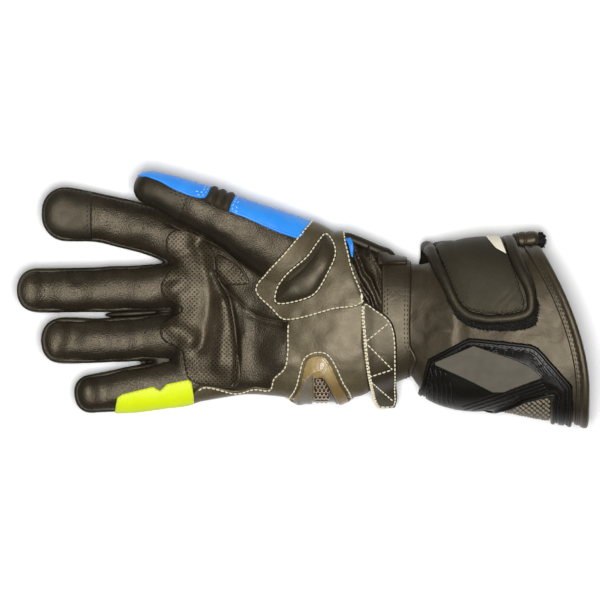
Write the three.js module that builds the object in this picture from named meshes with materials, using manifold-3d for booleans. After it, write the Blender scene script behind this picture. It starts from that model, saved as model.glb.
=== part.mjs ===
// A motorcycle gauntlet: a long-cuffed leather riding glove for the right hand, lying on its back with
// the palm up. Millimetres. +X runs from the fingertips to the cuff's mouth, +Y points to the thumb's
// side, +Z up out of the palm. The glove is a hollow leather tube with five hollow digits. Panels are
// cut from that wall, and patches, straps and armour are layers that follow the same surface a little
// further out.

import * as THREE from "three";
import { mergeVertices } from "three/addons/utils/BufferGeometryUtils.js";
import Module from "manifold-3d";

const wasm = await Module();
wasm.setup();

// Driving dimensions of the hand and the cuff
const palmLength = 134; // finger webs to the narrowest place of the wrist
const cuffLength = 103.9; // narrowest place of the wrist to the far edge of the mouth
const handWidth = 103; // across the knuckles
const wristWidth = 65;
const mouthWidth = 103;
const handDepth = 40; // back to palm, at the heel of the hand
const mouthDepth = 58;
const leatherWall = 1.8;
const palmHollow = 4.5; // dip in the middle of the palm
const gatherDepth = 2.4; // grooves of the elastic gathers at the wrist
const mouthSlant = 28; // how much shorter the cuff is on the thumb's side
const webOffset = -71; // the finger webs' place along X
const mouthTurn = -0.6; // where the slant begins, across, in half widths
const mouthBend = 1.75; // how round the slant is
const bodySquareness = 2.7; // 2 is an ellipse, more is squarer

// Driving dimensions of the digits
const fingerDepth = 20.5;
const fingerCurl = 9; // how far the longest fingertip rises
const curlReach = 94; // the finger length that rises by the whole curl
const thumbRise = 32.5; // height of the thumb's tip
const rootOverlap = 24; // how deep a finger's tube runs into the palm
const rootTaper = 0.7; // size of the tube's end inside the palm
const digitSquareness = 2.35;
const tipRoundness = 2.3;
const tipRings = [0.04, 0.22, 0.58, 1]; // sections of a rounded tip, as shares of its length
const thumbTipSeam = 32; // from the thumb's tip

// Leather layers and clearances
const pieceGap = 0.3;
const patchThickness = 1.2;
const tipPatchThickness = 0.85;
const strapThickness = 1.3;
const flapThickness = 1.4;
const flapTailThickness = 2.5; // upright, as the tail slopes
const padThickness = 3;
const tabThickness = 1.6;
const bindingThickness = 3.4;
const labelThickness = 0.5;
const hemThickness = 1.9;
const hemWidth = 8;
const keeperThickness = 1.1;
const seamRise = 6; // height of the palm side's seam above the middle of a finger
const gussetHalfHeight = 6; // half the height of the strips between the fingers
const sideHeight = 16; // where the patches on the palm end on the glove's sides
const lowSideHeight = 8.8; // and where those that wrap round the side do
const sidePatchHeight = 4.4; // and the one on the little finger

// Hard parts
const sliderThickness = 3.2;
const sliderInsetDepth = 1.4;
const armourThickness = 2.8;
const armourRimHeight = 1.6;
const armourRimWidth = 5.2;
const facetThickness = 1.3;
const ribHeight = 1;
const ribWidth = 1.3;
const ribsInGroup = 3;
const cornerRollRadius = 4.3;
const cornerRollLength = 15;
const cornerRollEndRoundness = 0.6; // the ends' bulge, in radii
const cornerRollAlong = 1.68;
const cornerRollTurn = 0.12; // radians off the glove's length
const cornerRollLift = 0.75; // how far its middle stands off the hem, in radii
const cornerRollHeight = 24.8;
const rollCapSteps = 3;
const accordionRibHeight = 1.7;
const accordionRibs = 3;
const accordionRoundness = 0.7;
const ringsPerRib = 4;

// How fine the faceted surfaces are
const outerSides = 16;
const innerSides = 10;
const digitSides = 10;
const digitInnerSides = 8;
const digitStep = 20; // along a digit, between sections
const digitInnerStep = 34;

// The tube of the palm and cuff, a row for each section. along is 0 at the finger webs, 1 at the wrist
// and 2 at the mouth. swell is the width between the wrist's, 0, and the hand's or the mouth's, 1.
// lean is the centre's place across, as a share of the hand's width. top and lift are the heights of
// palm and back: shares of the hand's depth, and past the wrist top is the depth between the wrist's,
// 0, and the mouth's, 1. hollow is the share of the palm's dip.
const wristTop = 1.02;
const bodyRows = [
  { along: 0, swell: 1, lean: -0.08, top: 0.64, lift: 0.08, hollow: 0.1 },
  { along: 0.169, swell: 0.83, lean: -0.071, top: 0.76, lift: 0.005, hollow: 0.7 },
  { along: 0.302, swell: 0.674, lean: -0.077, top: 0.86, lift: 0, hollow: 1 },
  { along: 0.519, swell: 0.71, lean: -0.094, top: 0.98, lift: 0.02, hollow: 0.5 },
  { along: 0.693, swell: 0.83, lean: -0.074, top: 1.03, lift: 0.05, hollow: 0.1 },
  { along: 0.786, swell: 0.668, lean: -0.086, top: 1.03, lift: 0.075, hollow: 0 },
  { along: 0.846, swell: 0.47, lean: -0.083, top: 1.01, lift: 0.09, hollow: 0 },
  { along: 0.907, swell: 0.2, lean: -0.104, top: 1.01, lift: 0.1, hollow: 0 },
  { along: 1, swell: 0, lean: -0.094, top: 1.02, lift: 0.12, hollow: 0 },
];
const cuffRows = [
  { along: 1, swell: 0, lean: -0.094, top: 0, lift: 0.12, hollow: 0 },
  { along: 1.083, swell: 0.28, lean: -0.15, top: 0.12, lift: 0.13, hollow: 0 },
  { along: 1.28, swell: 0.71, lean: -0.127, top: 0.48, lift: 0.14, hollow: 0 },
  { along: 1.497, swell: 0.84, lean: -0.137, top: 0.74, lift: 0.13, hollow: 0 },
  { along: 1.727, swell: 0.87, lean: -0.177, top: 0.93, lift: 0.08, hollow: 0 },
  { along: 2, swell: 1, lean: -0.197, top: 1, lift: 0.06, hollow: 0 },
];
// The rounded end between the finger roots: how far before the webs each section lies, and its share
// of the first row's size
const webEndReach = 5.5;
const webEndRows = [
  { before: 1, size: 0.62 },
  { before: 0.75, size: 0.82 },
  { before: 0.35, size: 0.95 },
];
// Grooves of the gathers on the thumb's side of the wrist
const gatherRows = [
  { along: 0.765, depth: 0.7 },
  { along: 0.8, depth: 1 },
  { along: 0.838, depth: 0.9 },
];
const gatherSpacing = 0.036;
const gatherFrom = { start: 0.1, full: 0.6 }; // across, in half widths
const hollowRoundness = 1.5;

// The digits. along and across place the root on the palm's plan, across in half widths. rootYaw and
// tipYaw are the digit's heading in degrees from straight ahead, and tipWidth is the tip's share of
// the width.
const fingerRows = [
  { name: "index", length: 84, width: 28.6, tipWidth: 1.13, along: 0, across: 0.855, rootYaw: 21, tipYaw: 2 },
  {
    name: "middle", length: 96.5, width: 27.2, tipWidth: 0.98,
    along: 0, across: 0.345, rootYaw: -4, tipYaw: 1,
  },
  {
    name: "ring", length: 82.4, width: 27, tipWidth: 1.03,
    along: 0, across: -0.212, rootYaw: -6, tipYaw: 1.5,
  },
  {
    name: "little", length: 64.5, width: 26.4, tipWidth: 0.84,
    along: 0.01, across: -0.745, rootYaw: -9, tipYaw: -6,
  },
];
const thumbRow = {
  name: "thumb",
  length: 120.2,
  width: 25.5,
  tipWidth: 1,
  along: 0.604,
  across: 0.547,
  rootYaw: 33,
  tipYaw: 19,
};
// Width and depth along a finger and along the thumb, as shares of its own width and depth, from tip,
// 0, to root, 1
const fingerProfile = [
  { share: 0, width: 1, depth: 0.84 },
  { share: 0.22, width: 1, depth: 0.92 },
  { share: 0.4, width: 0.97, depth: 0.94 },
  { share: 0.58, width: 1.01, depth: 1 },
  { share: 0.78, width: 1.01, depth: 1 },
  { share: 1, width: 1.06, depth: 1.02 },
];
const thumbProfile = [
  { share: 0, width: 0.63, depth: 0.7, height: 1 },
  { share: 0.12, width: 0.8, depth: 0.77, height: 1 },
  { share: 0.3, width: 1.0, depth: 0.8, height: 0.99 },
  { share: 0.5, width: 1.18, depth: 1, height: 0.94 },
  { share: 0.7, width: 1.5, depth: 1.12, height: 0.82 },
  { share: 0.86, width: 1.8, depth: 1.18, height: 0.72 },
  { share: 1, width: 1.9, depth: 1.05, height: 0.62 },
];
const tipWidening = { from: 0.1, to: 0.5 }; // the stretch of a finger over which its tip's width comes in
const thumbDepth = 25.5;
const thumbSeam = 88; // where the thumb's tube is sewn to the palm, from the tip
const accordionStart = 41.5;
const accordionEnd = 56.5;
const thumbBackFrom = -60; // the coloured panel's edges round the thumb, in degrees from its outer side
const thumbBackTo = 71;
const thumbBackEnd = 110; // where the coloured panel ends, from the tip
const sectorSteps = 4;
const sectorReach = 1.4; // in thumb widths, well outside the tube

// Plan outlines of the patches as [along, across] on the palm and cuff
const outlines = {
  thumbPatch: [
    [0.32, 0.33], [0.37, 0.58], [0.44, 0.82], [0.505, 1.05], [0.575, 1.23], [0.63, 1.33], [0.695, 1.21],
    [0.725, 0.85], [0.75, 0.58], [0.79, 0.19], [0.66, 0.06], [0.46, -0.03], [0.39, 0.12],
  ],
  thumbPad: [
    [0.625, 1.01], [0.59, 0.95], [0.535, 0.78], [0.45, 0.56], [0.41, 0.32], [0.415, 0.17], [0.48, 0.19],
    [0.585, 0.27], [0.645, 0.52], [0.68, 0.73], [0.665, 0.9],
  ],
  heelPatch: [
    [0.465, -0.05], [0.46, -0.43], [0.45, -0.63], [0.4, -0.79], [0.385, -0.92], [0.32, -0.92],
    [0.24, -0.96], [0.08, -0.84], [0.065, -1.12], [0.475, -1.3], [0.81, -1.38], [0.805, -0.65],
    [0.79, -0.3], [0.79, 0.17], [0.66, 0.04],
  ],
  slider: [
    [0.595, -0.44], [0.545, -0.51], [0.53, -0.69], [0.505, -0.91], [0.47, -1.1], [0.47, -1.3],
    [0.745, -1.29], [0.74, -1.01], [0.7, -0.79], [0.665, -0.6], [0.63, -0.48],
  ],
  sliderInset: [
    [0.585, -0.7], [0.57, -0.8], [0.57, -1.28], [0.695, -1.27], [0.675, -0.93], [0.62, -0.71],
  ],
  flap: [
    [0.79, 0.18], [0.85, 0.12], [0.905, 0.05], [0.93, -0.13], [0.94, -0.42], [0.94, -1.09],
    [0.94, -1.35], [0.915, -1.5], [0.865, -1.32], [0.835, -1.07], [0.81, -0.74], [0.795, -0.3],
  ],
  strap: [
    [0.875, 1.47], [1.005, 1.77], [1.005, 0.52], [1, -0.46], [1.04, -0.58], [1.015, -0.84],
    [0.955, -1.17], [0.89, -1.07], [0.875, -0.47],
  ],
  keeper: [
    [0.855, 0.79], [0.855, 1.25], [0.98, 1.57], [0.98, 0.9],
  ],
  tab: [
    [1.06, 1.71], [1.07, 1.37], [1.11, 0.96], [1.16, 0.63], [1.22, 0.29], [1.27, 0.15], [1.34, 0.07],
    [1.47, 0.06], [1.605, 0.12], [1.685, 0.24], [1.71, 0.37], [1.69, 0.55], [1.63, 0.85], [1.59, 1.07],
    [1.575, 1.3],
  ],
  tabPanel: [
    [1.135, 1.57], [1.15, 1.2], [1.22, 0.71], [1.28, 0.32], [1.325, 0.21], [1.45, 0.17], [1.585, 0.22],
    [1.65, 0.31], [1.615, 0.56], [1.535, 0.93], [1.495, 1.28],
  ],
  label: [
    [1.425, 1.18], [1.425, 1.08], [1.46, 1], [1.525, 0.88], [1.54, 0.9], [1.51, 1.04], [1.5, 1.18],
  ],
  hookField: [
    [1.22, 0.37], [1.225, 0.23], [1.26, 0.09], [1.34, -0.03], [1.47, -0.05], [1.605, 0], [1.695, 0.11],
    [1.72, 0.27], [1.715, 0.42],
  ],
  armour: [
    [1.06, -1.81], [1.09, -0.45], [1.315, -0.16], [1.38, -0.17], [1.675, -0.14], [1.715, -0.17],
    [1.91, -0.59], [1.91, -1.21], [1.78, -1.25], [1.785, -0.87], [1.64, -0.83], [1.55, -1.35],
  ],
  facet: [
    [1.145, -0.49], [1.355, -0.28], [1.605, -0.42], [1.72, -0.51], [1.495, -0.77],
  ],
  armourMesh: [
    [1.555, -1.35], [1.575, -1.03], [1.65, -0.86], [1.775, -0.89], [1.77, -1.26],
  ],
  sidePatch: [
    [-0.29, -1.18], [-0.28, -0.93], [-0.255, -0.89], [-0.125, -0.8], [-0.095, -0.85], [-0.06, -0.77],
    [0.03, -0.74], [0.045, -0.77], [0.05, -1.21],
  ],
  gripPatch: [
    [-0.065, 0.88], [-0.02, 0.99], [0.07, 0.95], [0.145, 0.75], [0.16, 0.43], [0.21, 0.14],
    [0.24, -0.32], [0.25, -0.87], [0.105, -0.84], [0.03, -0.71], [0.015, -0.53], [0, -0.41],
    [-0.085, -0.27], [-0.09, -0.14], [-0.04, -0.01], [0, 0.08], [-0.075, 0.22], [-0.09, 0.35],
    [-0.05, 0.52], [0.005, 0.59], [-0.055, 0.71],
  ],
  crotchPatch: [
    [0.15, 0.7], [0.18, 0.71], [0.24, 0.64], [0.295, 0.46], [0.21, 0.37], [0.165, 0.42],
  ],
  wristStripe: [
    [0.685, 1.33], [0.705, 1.06], [0.735, 0.81], [0.745, 0.7], [0.74, 1], [0.715, 1.34],
  ],
};
// Behind the glove: the strap's stretch, the tab's and its panel's, and the seam where the tab is sewn
// on, across
const strapSpan = { from: 0.873, to: 1.005 };
const tabBack = { from: 1.069, to: 1.57, seam: 0.35 };
const tabPanelBack = { from: 1.13, to: 1.52, seam: 0.25 };
const blockLap = 0.01; // cutting blocks overlap by this where they join
// Where the tab folds round the thumb's side and stands off the cuff
const tabFoldPlan = [[1.067, 1.37], [1.145, 1.275], [1.22, 1.17], [1.22, 0.8], [1.1, 0.8], [1.075, 0.98]];
const tabFoldFrom = 9;
const tabFoldTo = 36;
// The armour's two groups of ribs: the ends of the first and of the last rib in each
const ribGroups = [
  { first: [[1.15, -0.68], [1.19, -1.06]], last: [[1.27, -0.78], [1.3, -1.08]] },
  { first: [[1.5, -0.8], [1.72, -0.56]], last: [[1.36, -1.06], [1.76, -0.78]] },
];
// The flap's free end, which stands off the wrist on the little finger's side: its edges from the fold
// to the tip
const flapTailEdges = [
  { ends: [[0.83, -0.9], [0.94, -0.9]], height: 29 },
  { ends: [[0.86, -1.12], [0.945, -1.18]], height: 25 },
  { ends: [[0.88, -1.3], [0.944, -1.36]], height: 18 },
  { ends: [[0.895, -1.36], [0.935, -1.42]], height: 12 },
];
const indexTipSeam = -0.4; // the fingertip patch's edge, along

// Colours of the real materials
const material = (color, roughness) => new THREE.MeshStandardMaterial({ color, roughness, metalness: 0 });
const palmLeather = material("#3a342a", 0.5);
const backLeather = material("#2b2721", 0.55);
const patchLeather = material("#46413a", 0.45);
const blueLeather = material("#2f95ee", 0.5);
const yellowLeather = material("#e4f406", 0.55);
const stretchFabric = material("#2e2a24", 0.8);
const sliderResin = material("#7d7259", 0.3);
const armourPlastic = material("#1d1a16", 0.25);
const facetPlastic = material("#645d50", 0.5);
const fuzz = material("#15130f", 0.95);
const paleLabel = material("#ece5cf", 0.5);

// Value of a column of a table at a place, on a smooth curve through the rows
function valueAt(rows, key, column, at) {
  const last = rows.length - 1;
  if (at <= rows[0][key]) return rows[0][column];
  if (at >= rows[last][key]) return rows[last][column];
  const i = rows.findIndex((row, n) => n < last && at < rows[n + 1][key]);
  const slope = (n) => {
    const a = rows[Math.max(0, n - 1)];
    const b = rows[Math.min(last, n + 1)];
    return (b[column] - a[column]) / (b[key] - a[key]);
  };
  const [from, to] = [rows[i], rows[i + 1]];
  const span = to[key] - from[key];
  const t = (at - from[key]) / span;
  const ease = t * t * (3 - 2 * t);
  const startBend = t * (1 - t) * (1 - t) * span * slope(i);
  const endBend = t * t * (t - 1) * span * slope(i + 1);
  return from[column] * (1 - ease) + to[column] * ease + startBend + endBend;
}

// Sizes of the palm and cuff tube at a place along it
function bodyAt(along) {
  const rows = along < 1 ? bodyRows : cuffRows;
  const at = (column) => valueAt(rows, "along", column, along);
  const x = along < 1 ? webOffset + along * palmLength : webOffset + palmLength + (along - 1) * cuffLength;
  const fullWidth = along < 1 ? handWidth : mouthWidth;
  const wristHeight = wristTop * handDepth;
  const top = along < 1 ? at("top") * handDepth : wristHeight + at("top") * (mouthDepth - wristHeight);
  return {
    x,
    centre: at("lean") * handWidth,
    halfWidth: (wristWidth + (fullWidth - wristWidth) * at("swell")) / 2,
    top,
    bottom: at("lift") * handDepth,
    hollow: at("hollow") * palmHollow,
  };
}

// A point of the plan, from its place along the glove and across it in half widths
function planPoint([along, across]) {
  const body = bodyAt(along);
  return new THREE.Vector2(body.x, body.centre + across * body.halfWidth);
}

// The number raised to a power with its sign kept, which squares off an ellipse
const signedPower = (value, power) => Math.sign(value) * Math.abs(value) ** power;

// How far the gathers pull the wrist in, at a place along it and across it from -1 to 1
function gatherAt(along, across) {
  const onThumbSide = THREE.MathUtils.smoothstep(across, gatherFrom.start, gatherFrom.full);
  const grooveWidth = gatherSpacing / 4;
  const grooves = gatherRows.map((row) => row.depth * Math.exp(-(((along - row.along) / grooveWidth) ** 2)));
  return gatherDepth * onThumbSide * Math.max(...grooves);
}

// One section of the tube, grown by an offset all round
function bodyRing(along, offset, sides, size = 1, x = bodyAt(along).x) {
  const body = bodyAt(along);
  const middle = (body.top + body.bottom) / 2;
  const halfHeight = ((body.top - body.bottom) / 2) * size + offset;
  const halfWidth = body.halfWidth * size + offset;
  return Array.from({ length: sides }, (_, i) => {
    const turn = (i / sides) * Math.PI * 2;
    const across = signedPower(Math.cos(turn), 2 / bodySquareness);
    const up = signedPower(Math.sin(turn), 2 / bodySquareness);
    const pull = gatherAt(along, across);
    const dip = up > 0 ? body.hollow * (1 - across ** 2) ** hollowRoundness : 0;
    const y = body.centre + across * (halfWidth - pull);
    return new THREE.Vector3(x, y, middle + up * (halfHeight - pull) - dip);
  });
}

// Places along the tube where it has a section: the tables' rows, and close ones over the gathers
function bodyStations(withGathers) {
  const rows = [...bodyRows, ...cuffRows.slice(1)].map((row) => row.along);
  if (!withGathers) return rows.filter((along, i) => i % 2 === 0 || along === 2);
  const first = gatherRows[0].along - gatherSpacing / 2;
  const close = gatherRows.flatMap((row) => [row.along, row.along + gatherSpacing / 2]);
  const others = rows.filter((along) => along < first || along > close.at(-1));
  return [...others, first, ...close].sort((a, b) => a - b);
}

// A closed geometry through rings of points that all run the same way round
function loft(rings) {
  const count = rings[0].length;
  const points = rings.flat();
  const faces = [];
  for (let r = 0; r + 1 < rings.length; r += 1) {
    for (let i = 0; i < count; i += 1) {
      const [a, b] = [r * count + i, r * count + ((i + 1) % count)];
      faces.push(a, a + count, b, b, a + count, b + count);
    }
  }
  const lastRing = points.length - count;
  for (let i = 1; i + 1 < count; i += 1) {
    faces.push(0, i, i + 1, lastRing, lastRing + i + 1, lastRing + i);
  }
  const geometry = new THREE.BufferGeometry();
  geometry.setAttribute("position", new THREE.Float32BufferAttribute(points.flatMap((p) => p.toArray()), 3));
  geometry.setIndex(faces);
  return geometry;
}

// A three.js geometry as a solid, turned the right way out
const mergeDistance = 1e-4;
function solidOf(geometry) {
  const bare = geometry.clone();
  bare.deleteAttribute("normal");
  bare.deleteAttribute("uv");
  const merged = mergeVertices(bare, mergeDistance);
  const vertProperties = merged.attributes.position.array;
  const build = (triVerts) => new wasm.Manifold(new wasm.Mesh({ numProp: 3, vertProperties, triVerts }));
  const made = build(new Uint32Array(merged.index.array));
  if (made.volume() > 0) return made;
  return build(new Uint32Array(merged.index.array).reverse());
}

// The glove's palm and cuff as one closed tube
function bodySolid(offset, sides, withGathers) {
  const webEnd = webEndRows.map((row) =>
    bodyRing(0, offset, sides, row.size, webOffset - row.before * webEndReach - offset),
  );
  const rings = bodyStations(withGathers).map((along) => bodyRing(along, offset, sides));
  const beyond = bodyRing(2, offset, sides, 1, bodyAt(2).x + mouthSlant);
  return solidOf(loft([...webEnd, ...rings, beyond]));
}

// The middle line and half sizes of a digit at a distance from its tip
function digitAt(row, fromTip) {
  const isThumb = row.name === "thumb";
  const root = planPoint([row.along, row.across]);
  const body = bodyAt(row.along);
  const fromRoot = row.length - fromTip;
  const yawAt = (d) => {
    const share = THREE.MathUtils.clamp(d / row.length, 0, 1);
    return THREE.MathUtils.degToRad(row.rootYaw + (row.tipYaw - row.rootYaw) * share);
  };
  const bend = THREE.MathUtils.degToRad(row.tipYaw - row.rootYaw);
  const radius = row.length / bend;
  const onArc = THREE.MathUtils.clamp(fromRoot, 0, row.length);
  const straight = fromRoot - onArc;
  const [rootYaw, yaw] = [yawAt(0), yawAt(onArc)];
  const x = root.x - radius * (Math.sin(yaw) - Math.sin(rootYaw)) - straight * Math.cos(yaw);
  const y = root.y - radius * (Math.cos(yaw) - Math.cos(rootYaw)) + straight * Math.sin(yaw);
  const share = THREE.MathUtils.clamp(fromTip / row.length, 0, 1);
  const profile = isThumb ? thumbProfile : fingerProfile;
  const rise = THREE.MathUtils.clamp(fromRoot, 0, row.length) / curlReach;
  const z = isThumb
    ? valueAt(profile, "share", "height", share) * thumbRise
    : (body.top + body.bottom) / 2 + fingerCurl * rise ** 2;
  const pastTip = THREE.MathUtils.smoothstep(share, tipWidening.from, tipWidening.to);
  const tipShare = row.tipWidth + (1 - row.tipWidth) * pastTip;
  const taper = 1 - (1 - rootTaper) * Math.max(0, -fromRoot / rootOverlap);
  return {
    centre: new THREE.Vector3(x, y, z),
    side: new THREE.Vector3(Math.sin(yaw), Math.cos(yaw), 0),
    halfWidth: (row.width / 2) * tipShare * taper * valueAt(profile, "share", "width", share),
    halfDepth: ((isThumb ? thumbDepth : fingerDepth) / 2) * taper * valueAt(profile, "share", "depth", share),
  };
}

// One section of a digit, grown by an offset. The tip is rounded over a length equal to its half width.
function digitRing(row, fromTip, offset, sides) {
  const at = digitAt(row, fromTip);
  const tipLength = digitAt(row, 0).halfWidth + offset;
  const inTip = THREE.MathUtils.clamp((fromTip + offset) / tipLength, 0, 1);
  const round = (1 - (1 - inTip) ** tipRoundness) ** (1 / tipRoundness);
  return Array.from({ length: sides }, (_, i) => {
    const turn = (i / sides) * Math.PI * 2;
    const across = signedPower(Math.cos(turn), 2 / digitSquareness) * (at.halfWidth + offset) * round;
    const up = signedPower(Math.sin(turn), 2 / digitSquareness) * (at.halfDepth + offset) * round;
    return at.centre.clone().addScaledVector(at.side, across).add(new THREE.Vector3(0, 0, up));
  });
}

// Distances from the tip where a digit has a section
function digitStations(row, offset, step) {
  const tipLength = digitAt(row, 0).halfWidth;
  const tip = tipRings.map((share) => share * (tipLength + offset) - offset);
  const end = row.name === "thumb" ? row.length : row.length + rootOverlap;
  const count = Math.max(2, Math.round((end - tip.at(-1)) / step));
  const rest = Array.from({ length: count }, (_, i) => tip.at(-1) + ((i + 1) / count) * (end - tip.at(-1)));
  return [...tip, ...rest];
}

function digitSolid(row, offset, sides, step) {
  return solidOf(loft(digitStations(row, offset, step).map((d) => digitRing(row, d, offset, sides))));
}

const union = (solids) => solids.reduce((sum, solid) => sum.add(solid));
const digits = [...fingerRows, thumbRow];

// The whole glove filled in, grown by an offset. Each offset is made once.
const grownGloves = new Map();
function gloveGrown(offset) {
  if (!grownGloves.has(offset)) {
    const tubes = digits.map((row) => digitSolid(row, offset, digitSides, digitStep));
    grownGloves.set(offset, union([bodySolid(offset, outerSides, true), ...tubes]));
  }
  return grownGloves.get(offset);
}

// A layer of the glove's surface between two offsets
const layer = (low, high) => gloveGrown(high).subtract(gloveGrown(low));

// The space for the hand
const handSpace = union([
  bodySolid(-leatherWall, innerSides, false),
  ...digits.map((row) => digitSolid(row, -leatherWall, digitInnerSides, digitInnerStep)),
]);

// A plan outline made into an upright block
function blockOver(points, low, high) {
  const shape = new THREE.Shape(points);
  const geometry = new THREE.ExtrudeGeometry(shape, { depth: high - low, bevelEnabled: false });
  return solidOf(geometry.translate(0, 0, low));
}

// The outline moved out by a distance, or in if it is negative
function grownOutline(points, distance) {
  const turnsLeft = THREE.ShapeUtils.area(points) > 0 ? 1 : -1;
  return points.map((point, i) => {
    const before = points[(i + points.length - 1) % points.length];
    const after = points[(i + 1) % points.length];
    const normal = (a, b) => new THREE.Vector2(b.y - a.y, a.x - b.x).normalize().multiplyScalar(turnsLeft);
    const corner = normal(before, point).add(normal(point, after)).normalize();
    const square = Math.max(0.5, corner.dot(normal(point, after)));
    return point.clone().addScaledVector(corner, distance / square);
  });
}

// A closed smooth curve through an outline's points
const curvePointsPerCorner = 1.3;
function smoothOutline(points) {
  const lifted = points.map((p) => new THREE.Vector3(p.x, p.y, 0));
  const curve = new THREE.CatmullRomCurve3(lifted, true, "centripetal");
  const along = curve.getPoints(Math.round(points.length * curvePointsPerCorner)).slice(0, -1);
  return along.map((p) => new THREE.Vector2(p.x, p.y));
}

const planOutline = (name) => outlines[name].map(planPoint);
const skyHeight = mouthDepth * 2;

// Everything above, or below, the seam that runs round the glove's side
const seamHeight = (x, rise) => {
  const along = THREE.MathUtils.clamp((x - webOffset) / palmLength, 0, 1);
  const body = bodyAt(along);
  const beyondWeb = Math.max(0, webOffset - x) / curlReach;
  return (body.top + body.bottom) / 2 + fingerCurl * beyondWeb ** 2 + rise;
};
const farReach = palmLength + cuffLength + curlReach;
const seamStations = { fingers: [1.1, 0.79, 0.47, 0.2, 0], hand: [0.17, 0.49, 0.79, 0.98, 2] };
function aboveSeam(rise) {
  const overFingers = seamStations.fingers.map((share) => webOffset - share * curlReach);
  const overHand = seamStations.hand.map((along) => bodyAt(along).x);
  const stations = [-farReach, ...overFingers, ...overHand, farReach];
  const line = stations.map((x) => new THREE.Vector2(x, seamHeight(x, rise)));
  const sky = [farReach, -farReach].map((x) => new THREE.Vector2(x, skyHeight));
  const shape = new THREE.Shape([...line, ...sky]);
  const geometry = new THREE.ExtrudeGeometry(shape, { depth: 2 * farReach, bevelEnabled: false });
  return solidOf(geometry.rotateX(Math.PI / 2).translate(0, farReach, 0));
}

// The strip of plan between two fingers' middle lines, from beyond the tips to past the webs
const gussetStations = [-0.09, 0.25, 0.6, 1.08];
function planBetween(left, right) {
  const line = (row) => gussetStations.map((share) => digitAt(row, share * row.length).centre);
  return [...line(left), ...line(right).reverse()].map((p) => new THREE.Vector2(p.x, p.y));
}

// The plan up to the slanted mouth, less an inset
const mouthStations = [-1.6, -0.9, -0.4, 0, 0.35, 0.7, 1.1, 1.6];
function planBeforeMouth(inset) {
  const edge = mouthStations.map((across) => {
    const slant = Math.max(0, (across - mouthTurn) / (1 - mouthTurn)) ** mouthBend;
    const point = planPoint([2, across]);
    return new THREE.Vector2(point.x - mouthSlant * slant - inset, point.y);
  });
  const corner = (x, y) => new THREE.Vector2(x, y);
  const start = [corner(-farReach, -farReach), corner(edge[0].x, -farReach)];
  return [...start, ...edge, corner(edge.at(-1).x, farReach), corner(-farReach, farReach)];
}

const cutPlaneAcross = (along) => bodyAt(along).x;
function slabOutline(fromX, toX) {
  const near = [fromX, toX].map((x) => new THREE.Vector2(x, -farReach));
  const far = [toX, fromX].map((x) => new THREE.Vector2(x, farReach));
  return [...near, ...far];
}
const slab = (fromX, toX) => blockOver(slabOutline(fromX, toX), -skyHeight, skyHeight);

// The glove's wall, and the part of it that is the thumb's own tube
const wall = gloveGrown(0).subtract(handSpace).intersect(blockOver(planBeforeMouth(0), -skyHeight, skyHeight));
const evenSteps = (from, to, count) =>
  Array.from({ length: count + 1 }, (_, i) => from + ((to - from) * i) / count);
const thumbUpTo = (end, grow) => {
  const stations = digitStations(thumbRow, grow, digitStep).filter((d) => d < end);
  return solidOf(loft([...stations, end].map((d) => digitRing(thumbRow, d, grow, digitSides))));
};
const skinClearance = 0.2; // keeps a cut that follows the thumb's skin just outside it
const thumbZone = (grow) => thumbUpTo(thumbSeam + grow, skinClearance + grow);
const wristCut = 0.93; // where the hand's panels meet the cuff's, under the strap
const sectorGap = 1.2; // degrees
const thumbBackPlan = (grow) => thumbSector(accordionEnd - grow, thumbBackEnd + grow, grow > 0 ? sectorGap : 0);
const handWall = wall
  .subtract(thumbZone(pieceGap))
  .subtract(thumbBackPlan(pieceGap))
  .intersect(slab(-farReach, cutPlaneAcross(wristCut)));
const cuffWall = wall.intersect(slab(cutPlaneAcross(wristCut) + pieceGap, farReach));
const thumbWall = wall.intersect(thumbZone(0));

// The largest body of a solid, which drops slivers left by a cut
const larger = (best, body) => (body.volume() > best.volume() ? body : best);
const mainBody = (solid) => solid.decompose().reduce(larger);

// Panels of the hand
const palmSide = mainBody(handWall.intersect(aboveSeam(seamRise)));
const gussetBand = (grow) =>
  aboveSeam(-gussetHalfHeight - grow).subtract(aboveSeam(seamRise - pieceGap + grow));
const gussets = fingerRows.slice(1).map((right, i) => {
  const left = fingerRows[i];
  const plan = planBetween(left, right);
  const cut = (grow) => blockOver(grownOutline(plan, grow), -skyHeight, skyHeight).intersect(gussetBand(grow));
  const solid = handWall.intersect(cut(-pieceGap / 2));
  return { name: `gusset_${left.name}_${right.name}`, solid, cutter: cut(pieceGap / 2) };
});
const backOfHand = gussets.reduce(
  (rest, gusset) => rest.subtract(gusset.cutter),
  handWall.subtract(aboveSeam(seamRise - pieceGap)),
);

// The coloured back of the thumb is a sector of its tube, in three lengths, the middle one ribbed
function thumbSector(from, to, spread) {
  const rings = evenSteps(from, to, sectorSteps).map((d) => {
    const at = digitAt(thumbRow, d);
    const reach = thumbRow.width * sectorReach;
    const arc = evenSteps(thumbBackFrom - spread, thumbBackTo + spread, 2).map((degrees) => {
      const turn = THREE.MathUtils.degToRad(degrees);
      return at.centre
        .clone()
        .addScaledVector(at.side, Math.cos(turn) * reach)
        .add(new THREE.Vector3(0, 0, Math.sin(turn) * reach));
    });
    return [at.centre.clone(), ...arc];
  });
  return solidOf(loft(rings));
}
const beyondTip = -thumbRow.width / 2;
const thumbFront = mainBody(thumbWall.subtract(thumbSector(beyondTip, thumbBackEnd, sectorGap)));
const thumbBackTip = mainBody(thumbWall.intersect(thumbSector(beyondTip, accordionStart, 0)));
const thumbBackBase = mainBody(wall.intersect(thumbBackPlan(0)));
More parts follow.
